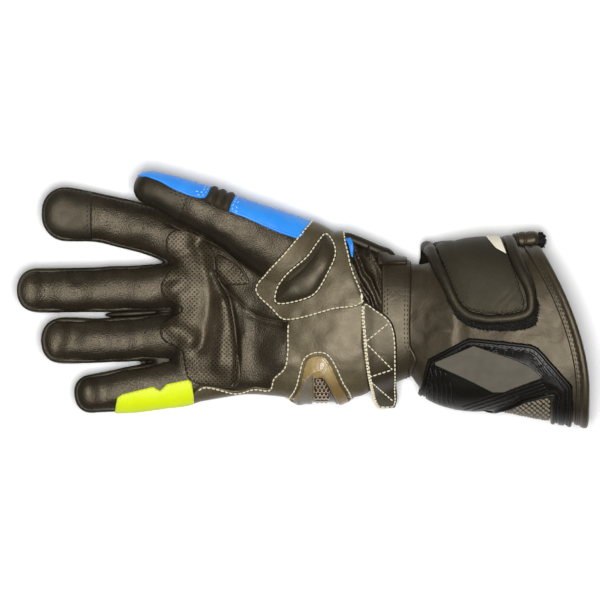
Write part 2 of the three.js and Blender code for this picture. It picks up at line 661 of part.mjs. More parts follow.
function ribbedTube(from, to) {
  const rings = evenSteps(from, to, accordionRibs * ringsPerRib).map((d, i) => {
    const wave = Math.sin(((i % ringsPerRib) / ringsPerRib) * Math.PI) ** accordionRoundness;
    return digitRing(thumbRow, d, accordionRibHeight * wave, digitSides);
  });
  return solidOf(loft(rings));
}
const accordionSpan = [accordionStart + pieceGap, accordionEnd - pieceGap];
const thumbAccordion = mainBody(
  ribbedTube(...accordionSpan).subtract(handSpace).intersect(thumbSector(...accordionSpan, 0)),
);

// A patch: part of a layer over a plan outline, above a height
function patch({ name, low, thickness, from, smooth = true, without = [] }) {
  const points = planOutline(name);
  const outline = smooth ? smoothOutline(points) : points;
  const block = without.reduce(
    (rest, other) => rest.subtract(blockOver(grownOutline(other, pieceGap), -skyHeight, skyHeight)),
    blockOver(outline, from, skyHeight),
  );
  return mainBody(layer(low, low + thickness).intersect(block));
}
const firstLayer = pieceGap;
const overPatch = firstLayer + patchThickness + pieceGap;
const rounded = (name) => smoothOutline(planOutline(name));

const thumbPatch = patch({ name: "thumbPatch", low: firstLayer, thickness: patchThickness, from: sideHeight });
const thumbPad = patch({ name: "thumbPad", low: overPatch, thickness: padThickness, from: sideHeight });
const heelPatch = patch({
  name: "heelPatch",
  low: firstLayer,
  thickness: patchThickness,
  from: lowSideHeight,
  without: [rounded("thumbPatch")],
});
const sliderBody = patch({ name: "slider", low: overPatch, thickness: sliderThickness, from: lowSideHeight });
const insetBlock = blockOver(planOutline("sliderInset"), lowSideHeight + sliderThickness, skyHeight);
const insetFloor = overPatch + sliderThickness - sliderInsetDepth;
const insetLayer = layer(insetFloor, overPatch + sliderThickness + sliderInsetDepth);
const slider = mainBody(sliderBody.subtract(insetLayer.intersect(insetBlock)));
const gripPatch = patch({
  name: "gripPatch",
  low: firstLayer,
  thickness: patchThickness,
  from: sideHeight,
  without: [rounded("heelPatch")],
});
const crotchPatch = patch({
  name: "crotchPatch",
  low: firstLayer,
  thickness: patchThickness,
  from: sideHeight,
  without: [rounded("gripPatch")],
});
const sidePatch = patch({
  name: "sidePatch",
  low: firstLayer,
  thickness: patchThickness,
  from: sidePatchHeight,
  smooth: false,
  without: [rounded("heelPatch")],
});
const wristStripe = patch({
  name: "wristStripe",
  low: firstLayer,
  thickness: patchThickness,
  from: lowSideHeight,
  without: [rounded("thumbPatch")],
});

// Smooth leather over the tips of index finger and thumb, each ending at a seam across the digit
const tipLayer = layer(firstLayer, firstLayer + tipPatchThickness);
const indexZone = digitSolid(fingerRows[0], overPatch, digitSides, digitStep);
const indexTipPatch = mainBody(
  tipLayer
    .intersect(slab(-farReach, webOffset + indexTipSeam * palmLength))
    .intersect(indexZone)
    .intersect(aboveSeam(seamRise)),
);
const thumbTipPatch = mainBody(
  tipLayer
    .intersect(thumbUpTo(thumbTipSeam, overPatch))
    .subtract(thumbSector(beyondTip, thumbBackEnd, sectorGap))
    .intersect(blockOver(slabOutline(-farReach, farReach), thumbRise, skyHeight)),
);

// Wrist: the strap goes right round under the glove, and the flap lies over it on the palm
const strapBack = blockOver(
  [[strapSpan.from, 2], [strapSpan.to, 2], [strapSpan.to, -2], [strapSpan.from, -2]].map(planPoint),
  -skyHeight,
  sideHeight,
);
const strapFront = blockOver(rounded("strap"), sideHeight - blockLap, skyHeight);
const strapLayer = layer(firstLayer, firstLayer + strapThickness);
const wristStrap = mainBody(strapLayer.intersect(strapFront.add(strapBack)));
const overStrap = firstLayer + strapThickness + pieceGap;
const flapTail = solidOf(
  loft(
    flapTailEdges.map(({ ends, height }) => {
      const [near, far] = ends.map(planPoint);
      const half = flapTailThickness / 2;
      const at = (point, z) => new THREE.Vector3(point.x, point.y, z);
      return [at(near, height + half), at(far, height + half), at(far, height - half), at(near, height - half)];
    }),
  ),
).subtract(gloveGrown(overStrap));
const flapBody = patch({ name: "flap", low: overStrap, thickness: flapThickness, from: lowSideHeight });
const flap = mainBody(flapBody.add(flapTail));
const keeper = patch({
  name: "keeper",
  low: overStrap,
  thickness: keeperThickness,
  from: lowSideHeight,
  smooth: false,
});

// Cuff: two panels, a bound hem, the closing tab and the hook field under it
const cuffFront = mainBody(cuffWall.intersect(aboveSeam(0)));
const cuffBack = mainBody(cuffWall.subtract(aboveSeam(-pieceGap)));
const hemBand = blockOver(planBeforeMouth(0), -skyHeight, skyHeight).subtract(
  blockOver(planBeforeMouth(hemWidth), -skyHeight, skyHeight),
);
const cuffHem = mainBody(layer(firstLayer, firstLayer + hemThickness).intersect(hemBand));
const hookField = patch({ name: "hookField", low: firstLayer, thickness: patchThickness, from: sideHeight });
const tabLow = firstLayer + patchThickness + pieceGap;
const backSpan = ({ from, to, seam }) => [[from, 2], [to, 2], [to, seam], [from, seam]].map(planPoint);
const tabSpan = backSpan(tabBack);
const tabPanelSpan = backSpan(tabPanelBack);
const frontAndBack = (front, back) =>
  blockOver(front, sideHeight - blockLap, skyHeight).add(blockOver(back, -skyHeight, sideHeight));
const panelBlock = (grow) =>
  frontAndBack(grownOutline(rounded("tabPanel"), grow), grownOutline(tabPanelSpan, grow));
const tabBlock = frontAndBack(rounded("tab"), tabSpan);
const tabFold = blockOver(tabFoldPlan.map(planPoint), tabFoldFrom, tabFoldTo).subtract(gloveGrown(tabLow));
const tabPanel = mainBody(
  layer(tabLow, tabLow + tabThickness).intersect(panelBlock(-pieceGap)).intersect(tabBlock),
);
const tabBinding = mainBody(
  layer(tabLow, tabLow + bindingThickness).intersect(tabBlock).add(tabFold).subtract(panelBlock(0)),
);
const label = patch({
  name: "label",
  low: tabLow + tabThickness + pieceGap,
  thickness: labelThickness,
  from: sideHeight,
  smooth: false,
});

// Armour on the cuff's outer side: a moulded shell with a raised rim and ribs, a flat facet and a mesh
// panel
const armourOutline = planOutline("armour");
const armourFrom = lowSideHeight;
const armourTop = firstLayer + armourThickness;
const armourLayer = (low, high, outline) =>
  layer(low, high).intersect(blockOver(outline, armourFrom, skyHeight));
const raised = (height) => armourLayer(armourTop - ribHeight, armourTop + height, armourOutline);
const armourRim = raised(armourRimHeight).subtract(
  blockOver(grownOutline(armourOutline, -armourRimWidth), -skyHeight, skyHeight),
);
const ribLine = ([a, b]) => {
  const across = new THREE.Vector2(a.y - b.y, b.x - a.x).normalize().multiplyScalar(ribWidth / 2);
  return [a.clone().add(across), b.clone().add(across), b.clone().sub(across), a.clone().sub(across)];
};
const ribsOf = ({ first, last }) =>
  evenSteps(0, 1, ribsInGroup - 1).map((t) => {
    const between = (n) => first[n].map((value, i) => value + (last[n][i] - value) * t);
    return ribLine([0, 1].map((n) => planPoint(between(n))));
  });
const ribPlans = ribGroups.flatMap(ribsOf);
const ribs = union(ribPlans.map((plan) => blockOver(plan, armourFrom, skyHeight)));
const facetSeat = armourLayer(
  armourTop,
  armourTop + armourRimHeight + ribHeight,
  grownOutline(planOutline("facet"), pieceGap),
);
const armourShell = mainBody(
  armourLayer(firstLayer, armourTop, armourOutline)
    .add(armourRim)
    .add(raised(ribHeight).intersect(ribs))
    .subtract(facetSeat),
);
const facet = patch({
  name: "facet",
  low: armourTop + pieceGap,
  thickness: facetThickness,
  from: armourFrom,
  smooth: false,
});
const armourMesh = patch({
  name: "armourMesh",
  low: firstLayer,
  thickness: patchThickness,
  from: armourFrom,
  smooth: false,
  without: [armourOutline],
});

// The rolled corner of the cuff's back flap, seen past the thumb's side of the cuff: a short rod with
// rounded ends
const rollEnd = cornerRollRadius * cornerRollEndRoundness;
const rollHalf = cornerRollLength / 2 - rollEnd;
const rollCap = (sign) =>
  evenSteps(0, 1, rollCapSteps).map((t) => {
    const turn = (t * Math.PI) / 2;
    return new THREE.Vector2(cornerRollRadius * Math.cos(turn), sign * (rollHalf + rollEnd * Math.sin(turn)));
  });
const rollProfile = [...rollCap(-1).reverse(), ...rollCap(1)];
const rollPlace = planPoint([cornerRollAlong, 1]);
const rollOut = hemThickness + pieceGap + cornerRollRadius * cornerRollLift;
const rollShape = new THREE.LatheGeometry(rollProfile, digitSides)
  .rotateZ(Math.PI / 2 + cornerRollTurn)
  .translate(rollPlace.x, rollPlace.y + rollOut, cornerRollHeight);
const tabClearance = gloveGrown(tabLow + bindingThickness + pieceGap).intersect(
  blockOver(grownOutline(tabSpan, pieceGap), -skyHeight, skyHeight),
);
const cornerRoll = mainBody(
  solidOf(rollShape).subtract(gloveGrown(firstLayer + hemThickness + pieceGap)).subtract(tabClearance),
);

// The glove's pieces
const pieces = [
  ["palm_panel", palmSide, palmLeather],
  ["back_panel", backOfHand, backLeather],
  ...gussets.map((gusset) => [gusset.name, gusset.solid, backLeather]),
  ["thumb_front", thumbFront, palmLeather],
  ["thumb_back_tip", thumbBackTip, blueLeather],
  ["thumb_accordion", thumbAccordion, stretchFabric],
  ["thumb_back_base", thumbBackBase, blueLeather],
  ["index_tip_patch", indexTipPatch, patchLeather],
  ["thumb_tip_patch", thumbTipPatch, patchLeather],
  ["grip_patch", gripPatch, palmLeather],
  ["crotch_patch", crotchPatch, palmLeather],
  ["little_finger_patch", sidePatch, yellowLeather],
  ["thumb_patch", thumbPatch, patchLeather],
  ["thumb_pad", thumbPad, patchLeather],
  ["heel_patch", heelPatch, patchLeather],
  ["palm_slider", slider, sliderResin],
  ["wrist_stripe", wristStripe, blueLeather],
  ["wrist_strap", wristStrap, patchLeather],
  ["wrist_flap", flap, patchLeather],
  ["strap_keeper", keeper, backLeather],
  ["cuff_front", cuffFront, palmLeather],
  ["cuff_back", cuffBack, backLeather],
  ["cuff_hem", cuffHem, palmLeather],
  ["cuff_corner_roll", cornerRoll, backLeather],
  ["hook_field", hookField, fuzz],
  ["tab_panel", tabPanel, backLeather],
  ["tab_binding", tabBinding, backLeather],
  ["tab_label", label, paleLabel],
  ["armour_shell", armourShell, armourPlastic],
  ["armour_facet", facet, facetPlastic],
  ["armour_mesh", armourMesh, patchLeather],
];

// A solid as a three.js mesh
function meshOf(name, solid, look) {
  const { vertProperties, triVerts, numProp, numVert } = solid.getMesh();
  const positions = new Float32Array(numVert * 3);
  for (let i = 0; i < numVert; i += 1)
    positions.set(vertProperties.subarray(i * numProp, i * numProp + 3), i * 3);
  const geometry = new THREE.BufferGeometry();
  geometry.setAttribute("position", new THREE.BufferAttribute(positions, 3));
  geometry.setIndex(new THREE.BufferAttribute(new Uint32Array(triVerts), 1));
  geometry.computeVertexNormals();
  const mesh = new THREE.Mesh(geometry, look);
  mesh.name = name;
  return mesh;
}

const gauntlet = new THREE.Group();
gauntlet.add(...pieces.map(([name, solid, look]) => meshOf(name, solid, look)));

// The origin is the centre of the base of the glove's own box
const extent = new THREE.Box3().setFromObject(gauntlet);
const middle = extent.getCenter(new THREE.Vector3());
gauntlet.position.set(-middle.x, -middle.y, -extent.min.z);

export default gauntlet;
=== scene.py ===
"""A right-hand motorcycle gauntlet lying palm up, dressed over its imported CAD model.

Shapes are worked out in millimetres and turned to metres when a mesh is made. +X runs from the
fingertips to the cuff's mouth, +Y to the thumb's side and +Z up out of the palm. The leather skin
is one smooth surface over the CAD's own tubes. Panels, patches and straps are cut from surfaces
like it by fields: a field is a number at each point, the distance in from the patch's edge.
"""

import math

import bpy
import numpy as np
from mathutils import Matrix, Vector
from mathutils.bvhtree import BVHTree

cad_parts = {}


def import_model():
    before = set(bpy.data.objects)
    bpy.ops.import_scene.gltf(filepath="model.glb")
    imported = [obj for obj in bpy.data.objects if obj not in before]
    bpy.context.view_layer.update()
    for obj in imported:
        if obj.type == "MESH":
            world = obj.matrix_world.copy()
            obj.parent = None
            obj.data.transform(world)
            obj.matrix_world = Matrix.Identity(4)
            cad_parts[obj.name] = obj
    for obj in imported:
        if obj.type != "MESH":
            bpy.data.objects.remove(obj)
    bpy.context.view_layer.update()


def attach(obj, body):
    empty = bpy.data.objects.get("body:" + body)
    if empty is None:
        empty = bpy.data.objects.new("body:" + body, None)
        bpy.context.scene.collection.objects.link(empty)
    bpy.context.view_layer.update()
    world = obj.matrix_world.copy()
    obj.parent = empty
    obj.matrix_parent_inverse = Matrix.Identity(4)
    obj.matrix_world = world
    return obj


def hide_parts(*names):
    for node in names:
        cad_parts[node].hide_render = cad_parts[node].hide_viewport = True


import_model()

MM = 0.001
FRAME_SHIFT = np.array([0.04, -0.46, 0.0])  # from the glove's plan to the frame's origin

# The palm and cuff tube
WEBS_X = -71.0
PALM_LENGTH = 134.0
CUFF_LENGTH = 103.9
WRIST_X = WEBS_X + PALM_LENGTH
MOUTH_X = WRIST_X + CUFF_LENGTH
HAND_WIDTH = 103.0
WRIST_WIDTH = 65.0
MOUTH_WIDTH = 103.0
HAND_DEPTH = 40.0
MOUTH_DEPTH = 58.0
WRIST_TOP = 1.02
PALM_HOLLOW = 4.5
BODY_SQUARENESS = 2.7
MOUTH_SLANT = 28.0
MOUTH_TURN = -0.6
MOUTH_BEND = 1.75
WALL = 1.8
# along, swell, lean, top, lift, hollow, as in the CAD's own table
HAND_ROWS = np.array([
    (0, 1, -0.08, 0.64, 0.08, 0.1),
    (0.169, 0.83, -0.071, 0.76, 0.005, 0.7),
    (0.302, 0.674, -0.077, 0.86, 0, 1),
    (0.519, 0.71, -0.094, 0.98, 0.02, 0.5),
    (0.693, 0.83, -0.074, 1.03, 0.05, 0.1),
    (0.786, 0.668, -0.086, 1.03, 0.075, 0),
    (0.846, 0.47, -0.083, 1.01, 0.09, 0),
    (0.907, 0.2, -0.104, 1.01, 0.1, 0),
    (1, 0, -0.094, 1.02, 0.12, 0),
])
CUFF_ROWS = np.array([
    (1, 0, -0.094, 0, 0.12, 0),
    (1.083, 0.28, -0.15, 0.12, 0.13, 0),
    (1.28, 0.71, -0.127, 0.48, 0.14, 0),
    (1.497, 0.84, -0.137, 0.74, 0.13, 0),
    (1.727, 0.87, -0.177, 0.93, 0.08, 0),
    (2, 1, -0.197, 1, 0.06, 0),
])

# The digits: length, width, tip width, root along and across, yaw at root and tip
DIGITS = {
    "index": (84.0, 28.6, 1.13, 0.0, 0.855, 21.0, 2.0),
    "middle": (96.5, 26.8, 0.98, 0.0, 0.345, -4.0, 1.0),
    "ring": (82.4, 26.6, 1.03, 0.0, -0.212, -6.0, 1.5),
    "little": (64.5, 26.4, 0.84, 0.01, -0.745, -9.0, -6.0),
    "thumb": (120.2, 25.5, 1.0, 0.604, 0.547, 33.0, 19.0),
}
FINGER_DEPTH = 20.5
THUMB_DEPTH = 25.5
FINGER_CURL = 9.0
CURL_REACH = 94.0
THUMB_RISE = 32.5
ROOT_OVERLAP = 24.0
ROOT_TAPER = 0.7
DIGIT_SQUARENESS = 2.35
TIP_ROUNDNESS = 2.3
# share from the tip, width, depth, and for the thumb the height
FINGER_PROFILE = np.array([
    (0, 1, 0.84), (0.22, 1, 0.92), (0.4, 0.97, 0.94), (0.58, 1.01, 1), (0.78, 1.01, 1), (1, 1.06, 1.02),
])
THUMB_PROFILE = np.array([
    (0, 0.63, 0.7, 1), (0.12, 0.8, 0.77, 1), (0.3, 1.0, 0.8, 0.99), (0.5, 1.18, 1, 0.94),
    (0.7, 1.5, 1.12, 0.82), (0.86, 1.8, 1.18, 0.72), (1, 1.9, 1.05, 0.62),
])
SEAM_RISE = 4.4  # the palm panels' seam above the middle of the fingers
SKIN_VOXEL = 0.9
SKIN_ROUNDS = 9

# Plan outlines in millimetres
OUTLINES = {
    "thumb_patch": [
        (-28, 7), (-21.5, 17.5), (-12, 28), (-3, 38.5), (6, 48.5), (13, 55), (22, 51), (26, 33),
        (29.5, 18.5), (35, -0.5), (17.5, -5), (-9, -11), (-19, -3.5),
    ],
    "thumb_pad": [
        (12.5, 40), (8, 35.5), (1, 26.5), (-11, 16), (-16, 5.5), (-15.5, -1), (-6.5, -1), (7.5, 4),
        (15.5, 16.5), (20, 27.5), (18, 35.5),
    ],
    "heel_patch": [
        (-8.5, -11.5), (-9.5, -29), (-11, -38), (-17.5, -44.5), (-19.5, -50.5), (-28.5, -49.5),
        (-39, -52), (-60, -49.5), (-62.5, -64.5), (-7.5, -75), (37.5, -75), (37, -37.5), (35, -22),
        (35, 4), (17.5, 0), (-4, -6),
    ],
    "side_patch": [
        (-111, -69), (-110, -64.5), (-108.5, -56), (-105.5, -54), (-87.5, -49.5), (-83.5, -52),
        (-79.5, -48), (-67, -45.5), (-65, -47), (-63, -59.5), (-63, -69),
    ],
    "grip_patch": [
        (-80, 37), (-74, 42.5), (-61.5, 40), (-52, 29), (-49.5, 13.5), (-43, -0.5), (-39, -22),
        (-37.5, -48), (-57, -49), (-67, -44.5), (-69.5, -35), (-71, -29), (-82, -22), (-83, -15),
        (-76.5, -9), (-71, -4), (-81, 3), (-83, 10), (-77.5, 18.5), (-70.5, 22), (-78.5, 28),
    ],
    "crotch_patch": [
        (-50.5, 27), (-47, 27), (-39, 22), (-31.5, 13), (-31.5, 10.5), (-43, 10), (-49, 13),
    ],
    "wrist_stripe": [
        (20, 47), (21.9, 42), (26.8, 34), (29, 26), (29.9, 30), (28.4, 36), (25.8, 40.5), (23, 46),
    ],
    "hook_field": [
        (85.5, 2.5), (86.5, -3.5), (90, -9.5), (98.5, -14.8), (111.5, -16.5), (126, -16.2),
        (134.5, -13.5), (136.2, -9), (134, 2.5),
    ],
}
BLUE_EDGE = [
    (-107, 72.5), (-96, 72.6), (-90.5, 72.6), (-83.4, 69.8), (-74.6, 65.2), (-65, 61.4), (-56.5, 59.6),
    (-42.5, 52.5), (-33.5, 49), (-25, 45), (-13, 40), (-4, 37), (10, 34.5),
]
BLUE_SIDE = [*BLUE_EDGE, (10, 90), (-120, 90)]
FLAP = [
    (35, 0), (43, -4), (50, -9), (53.5, -15), (55, -25), (55, -48.5), (55.5, -57.5), (52, -64.5),
    (45, -62), (40.5, -54), (37.5, -41), (35.5, -22),
]
ZIGZAG = [(50, -12.5), (36.5, -23.5), (52.5, -39.5), (38.5, -44)]
ZIGZAG_TAIL = [(39.8, -46.5), (53, -58)]
# The tab and its panel run on past the thumb's side, where plan places are unrolled
TAB = [
    (69.5, 84), (69.5, 48), (70, 35.5), (74.5, 22), (80, 11), (85.5, -1), (91, -8), (98.5, -12),
    (111.5, -13.4), (126, -12), (134.5, -8), (136.6, -1), (134.8, 9.5), (128, 25), (124, 36.5),
    (122.5, 48), (122.5, 84),
]
TAB_PANEL = [
    (76, 92), (76, 48), (77, 34), (83.5, 17.5), (90.5, 1), (96, -4.6), (109.5, -7.5), (123.5, -6.2),
    (129.6, -3), (126.5, 10), (119.5, 30.5), (116.5, 48), (116.5, 92),
]
LABEL = [(105, 50), (106.2, 38.3), (112.6, 30.8), (118.8, 27.4), (115.7, 35.3), (113.4, 40), (113, 50)]
ARMOUR = [
    (69.5, -95), (67.5, -54), (72.5, -33), (96, -20.5), (102.5, -20.5), (133, -24), (137.5, -26),
    (157.5, -48.5), (158, -60), (157.5, -95), (144.5, -95), (144.5, -60), (145.5, -55.5), (130.5, -59),
    (122.5, -63), (110, -66), (100, -95),
]
RHOMBUS = [(78.5, -35.7), (99.6, -26.6), (124, -34.9), (132.5, -39), (137.3, -43.5), (117, -51), (111, -51)]
MESH_PANEL = [(112, -90), (114, -63), (123, -61), (131, -57.5), (144.2, -56), (144, -90)]
SLIDER = [
    (-9, -75), (-8.5, -62), (-3, -51.5), (-0.5, -41.5), (1.5, -34.5), (5, -31.5), (9, -30.5),
    (13.5, -31.5), (17.5, -37), (22.5, -48), (27.5, -57.5), (29, -75),
]
SLIDER_CREST = [
    (-6, -75), (-1.5, -58), (2, -45), (6.5, -40.5), (10.6, -39.5), (13.5, -43.5), (20, -55),
    (26, -75),
]
SLIDER_WINDOW = [(6.7, -75), (6.7, -44), (12.6, -43.6), (16.5, -50.5), (21.5, -60), (25, -75)]
HONEYCOMB = [(6.9, -60), (6.9, -43.6), (12.8, -43.6), (17.5, -52.5), (15, -59)]
ROOT_PIPING = [(-77.5, 45.5), (-73, 43), (-59.5, 37.5), (-48.5, 32), (-39, 24), (-33.5, 16), (-31.5, 11.5)]
PALM_PIPING = [
    (-49, 12), (-45.5, 8), (-39, 2), (-33.5, -2.5), (-28, -7.5), (-20, -10), (-9, -11.5),
]
HEM_WIDTH = 8.0


def curve_through(keys, values, at):
    """Values on a smooth curve through the keys, held still beyond its ends."""
    keys, values = np.asarray(keys, float), np.asarray(values, float)
    flat = values.reshape(len(keys), -1)
    at = np.clip(np.asarray(at, float), keys[0], keys[-1])
    last = len(keys) - 1
    before = np.maximum(np.arange(last + 1) - 1, 0)
    after = np.minimum(np.arange(last + 1) + 1, last)
    slope = (flat[after] - flat[before]) / (keys[after] - keys[before])[:, None]
    i = np.clip(np.searchsorted(keys, at, side="right") - 1, 0, last - 1)
    span = (keys[i + 1] - keys[i])[:, None]
    t = ((at - keys[i]) / span[:, 0])[:, None]
    ease = t * t * (3 - 2 * t)
    bends = t * (1 - t) ** 2 * span * slope[i] + t * t * (t - 1) * span * slope[i + 1]
    found = flat[i] * (1 - ease) + flat[i + 1] * ease + bends
    return found.reshape(len(at), *values.shape[1:])


def smooth_path(points, closed=False, step=1.0):
    """Even points on a smooth curve through the given ones."""
    points = np.asarray(points, float)
    if closed:
        points = np.vstack([points[-3:], points, points[:3]])
    pace = np.sqrt(np.linalg.norm(np.diff(points, axis=0), axis=1))
    keys = np.concatenate([[0], np.cumsum(pace)])
    ends = (keys[3], keys[-3]) if closed else (keys[0], keys[-1])
    dense = curve_through(keys, points, np.linspace(*ends, 40 * len(points)))
    return even_points(dense, step, closed)


def spread(points, count, closed=False):
    """The same line as a count of even points."""
    points = np.asarray(points, float)
    run = np.concatenate([[0], np.cumsum(np.linalg.norm(np.diff(points[:, :3], axis=0), axis=1))])
    at = np.linspace(0, run[-1], count, endpoint=not closed)
    return np.stack([np.interp(at, run, column) for column in points.T], 1)


def even_points(points, step, closed=False):
    """The same line with its points a step apart."""
    points = np.asarray(points, float)
    length = np.linalg.norm(np.diff(points[:, :3], axis=0), axis=1).sum()
    return spread(points, max(2, int(round(length / step)) + 1), closed)


def signed_power(value, power):
    return np.sign(value) * np.abs(value) ** power


def body_at(x):
    """Sizes of the palm and cuff tube at places along X."""
    x = np.atleast_1d(np.asarray(x, float))
    on_hand = x < WRIST_X
    hand = curve_through(WEBS_X + HAND_ROWS[:, 0] * PALM_LENGTH, HAND_ROWS, x)
    cuff = curve_through(WRIST_X + (CUFF_ROWS[:, 0] - 1) * CUFF_LENGTH, CUFF_ROWS, x)
    row = np.where(on_hand[:, None], hand, cuff)
    wrist_height = WRIST_TOP * HAND_DEPTH
    full_width = np.where(on_hand, HAND_WIDTH, MOUTH_WIDTH)
    cuff_top = wrist_height + row[:, 3] * (MOUTH_DEPTH - wrist_height)
    return {
        "centre": row[:, 2] * HAND_WIDTH,
        "half_width": (WRIST_WIDTH + (full_width - WRIST_WIDTH) * row[:, 1]) / 2,
        "top": np.where(on_hand, row[:, 3] * HAND_DEPTH, cuff_top),
        "bottom": row[:, 4] * HAND_DEPTH,
        "hollow": row[:, 5] * PALM_HOLLOW,
    }


def body_ring(x, turns, offset=0.0, size=1.0, at_x=None):
    """One section of the tube, at turns from the thumb's side up over the palm."""
    body = {name: value[0] for name, value in body_at(x).items()}
    across = signed_power(np.cos(turns), 2 / BODY_SQUARENESS)
    up = signed_power(np.sin(turns), 2 / BODY_SQUARENESS)
    middle = (body["top"] + body["bottom"]) / 2
    half_height = (body["top"] - body["bottom"]) / 2 * size + offset
    dip = np.where(up > 0, body["hollow"] * (1 - across**2) ** 1.5, 0)
    y = body["centre"] + across * (body["half_width"] * size + offset)
    return np.stack([np.full(len(turns), x if at_x is None else at_x), y, middle + up * half_height - dip], 1)


def plan_point(along, across):
    """A plan point from its share along the glove and across it in half widths."""
    x = WEBS_X + along * PALM_LENGTH if along < 1 else WRIST_X + (along - 1) * CUFF_LENGTH
    body = body_at(x)
    return np.array([x, body["centre"][0] + across * body["half_width"][0]])


def digit_at(name, from_tip):
    """The middle line and half sizes of a digit at distances from its tip."""
    length, width, tip_width, along, across, root_yaw, tip_yaw = DIGITS[name]
    from_tip = np.atleast_1d(np.asarray(from_tip, float))
    root = plan_point(along, across)
    body = body_at(WEBS_X + along * PALM_LENGTH)
    from_root = length - from_tip
    on_arc = np.clip(from_root, 0, length)
    straight = from_root - on_arc
    start, bend = math.radians(root_yaw), math.radians(tip_yaw - root_yaw)
    yaw = start + bend * on_arc / length
    radius = length / bend
    x = root[0] - radius * (np.sin(yaw) - math.sin(start)) - straight * np.cos(yaw)
    y = root[1] - radius * (np.cos(yaw) - math.cos(start)) + straight * np.sin(yaw)
    share = np.clip(from_tip / length, 0, 1)
    is_thumb = name == "thumb"
    table = THUMB_PROFILE if is_thumb else FINGER_PROFILE
    profile = curve_through(table[:, 0], table, share)
    if is_thumb:
        z = profile[:, 3] * THUMB_RISE
    else:
        z = (body["top"] + body["bottom"])[0] / 2 + FINGER_CURL * (on_arc / CURL_REACH) ** 2
    widening = np.clip((share - 0.1) / 0.4, 0, 1)
    tip_share = tip_width + (1 - tip_width) * widening**2 * (3 - 2 * widening)
    taper = 1 - (1 - ROOT_TAPER) * np.maximum(0, -from_root / ROOT_OVERLAP)
    return {
        "centre": np.stack([x, y, np.broadcast_to(z, x.shape)], 1),
        "side": np.stack([np.sin(yaw), np.cos(yaw), np.zeros(len(yaw))], 1),
        "half_width": width / 2 * tip_share * taper * profile[:, 1],
        "half_depth": (THUMB_DEPTH if is_thumb else FINGER_DEPTH) / 2 * taper * profile[:, 2],
    }


def digit_ring(name, from_tip, turns, offset=0.0):
    """One section of a digit. Its tip is rounded over a length equal to its half width."""
    at = {key: value[0] for key, value in digit_at(name, from_tip).items()}
    tip_length = digit_at(name, 0)["half_width"][0] + offset
    inside = np.clip((from_tip + offset) / tip_length, 0, 1)
    rounding = (1 - (1 - inside) ** TIP_ROUNDNESS) ** (1 / TIP_ROUNDNESS)
    across = signed_power(np.cos(turns), 2 / DIGIT_SQUARENESS) * (at["half_width"] + offset) * rounding
    up = signed_power(np.sin(turns), 2 / DIGIT_SQUARENESS) * (at["half_depth"] + offset) * rounding
    return at["centre"] + across[:, None] * at["side"] + up[:, None] * np.array([0, 0, 1])


def place_on_digit(points, name):
    """Distance from the tip, distance across, and height over the middle line, of points near a digit."""
    length = DIGITS[name][0]
    stations = np.arange(-16, length + ROOT_OVERLAP, 1.0)
    line = digit_at(name, stations)
    centre, side = line["centre"], line["side"]
    gap = points[:, None, :2] - centre[None, :, :2]
    nearest = (gap**2).sum(2).argmin(1)
    away = points - centre[nearest]
    forward = np.stack([-side[nearest, 1], side[nearest, 0]], 1)
    from_tip = stations[nearest] - (away[:, :2] * forward).sum(1)
    return from_tip, (away * side[nearest]).sum(1), away[:, 2]


def loft(rings):
    """A closed tube through rings, with a fan over each end."""
    count = len(rings[0])
    points = np.vstack([*rings, rings[0].mean(0), rings[-1].mean(0)])
    i = np.arange(count)
    j = (i + 1) % count
    faces = []
    for r in range(len(rings) - 1):
        a, b = r * count + i, r * count + j
        faces += [np.stack([a, b, a + count], 1), np.stack([b, b + count, a + count], 1)]
    low, high = len(points) - 2, len(points) - 1
    end = (len(rings) - 1) * count
    faces.append(np.stack([j, i, np.full(count, low)], 1))
    faces.append(np.stack([end + i, end + j, np.full(count, high)], 1))
    return points, np.vstack(faces)


def joined(*parts):
    """Several (points, faces) as one."""
    points, faces, start = [], [], 0
    for some_points, some_faces in parts:
        points.append(some_points)
        faces.append(np.asarray(some_faces) + start)
        start += len(some_points)
    return np.vstack(points), np.vstack(faces)


def melted(points, faces, voxel, rounds):
    """The parts joined into one closed surface of even faces, and softened."""
    draft = bpy.data.meshes.new("draft")
    draft.from_pydata(points.tolist(), [], faces.tolist())
    holder = bpy.data.objects.new("draft", draft)
    bpy.context.scene.collection.objects.link(holder)
    merge = holder.modifiers.new("merge", "REMESH")
    merge.mode, merge.voxel_size = "VOXEL", voxel
    soften = holder.modifiers.new("soften", "SMOOTH")
    soften.factor, soften.iterations = 0.5, rounds
    whole = holder.evaluated_get(bpy.context.evaluated_depsgraph_get()).to_mesh()
    whole.calc_loop_triangles()
    found = np.empty(len(whole.vertices) * 3, np.float32)
    whole.vertices.foreach_get("co", found)
    triangles = np.empty(len(whole.loop_triangles) * 3, np.int32)
    whole.loop_triangles.foreach_get("vertices", triangles)
    bpy.data.objects.remove(holder)
    bpy.data.meshes.remove(draft)
    return found.reshape(-1, 3).astype(float), triangles.reshape(-1, 3).astype(np.int64)


def normals_of(points, faces):
    """Outward normals at the points, from the faces around each."""
    a, b, c = points[faces[:, 0]], points[faces[:, 1]], points[faces[:, 2]]
    face_normals = np.cross(b - a, c - a)
    found = np.zeros_like(points)
    for corner in range(3):
        np.add.at(found, faces[:, corner], face_normals)
    return found / np.maximum(np.linalg.norm(found, axis=1), 1e-12)[:, None]


def soft_noise(points, size, seed):
    """Smooth noise from -1 to 1 with lumps of that size."""
    rng = np.random.default_rng(seed)
    lattice = rng.uniform(-1, 1, (24, 24, 24))
    place = points / size
    cell = np.floor(place).astype(int)
    t = place - cell
    t = t * t * (3 - 2 * t)
    total = np.zeros(len(points))
    for corner in np.ndindex(2, 2, 2):
        weight = np.prod(np.where(np.array(corner) == 1, t, 1 - t), axis=1)
        i, j, k = ((cell + np.array(corner)) % 24).T
        total += weight * lattice[i, j, k]
    return total


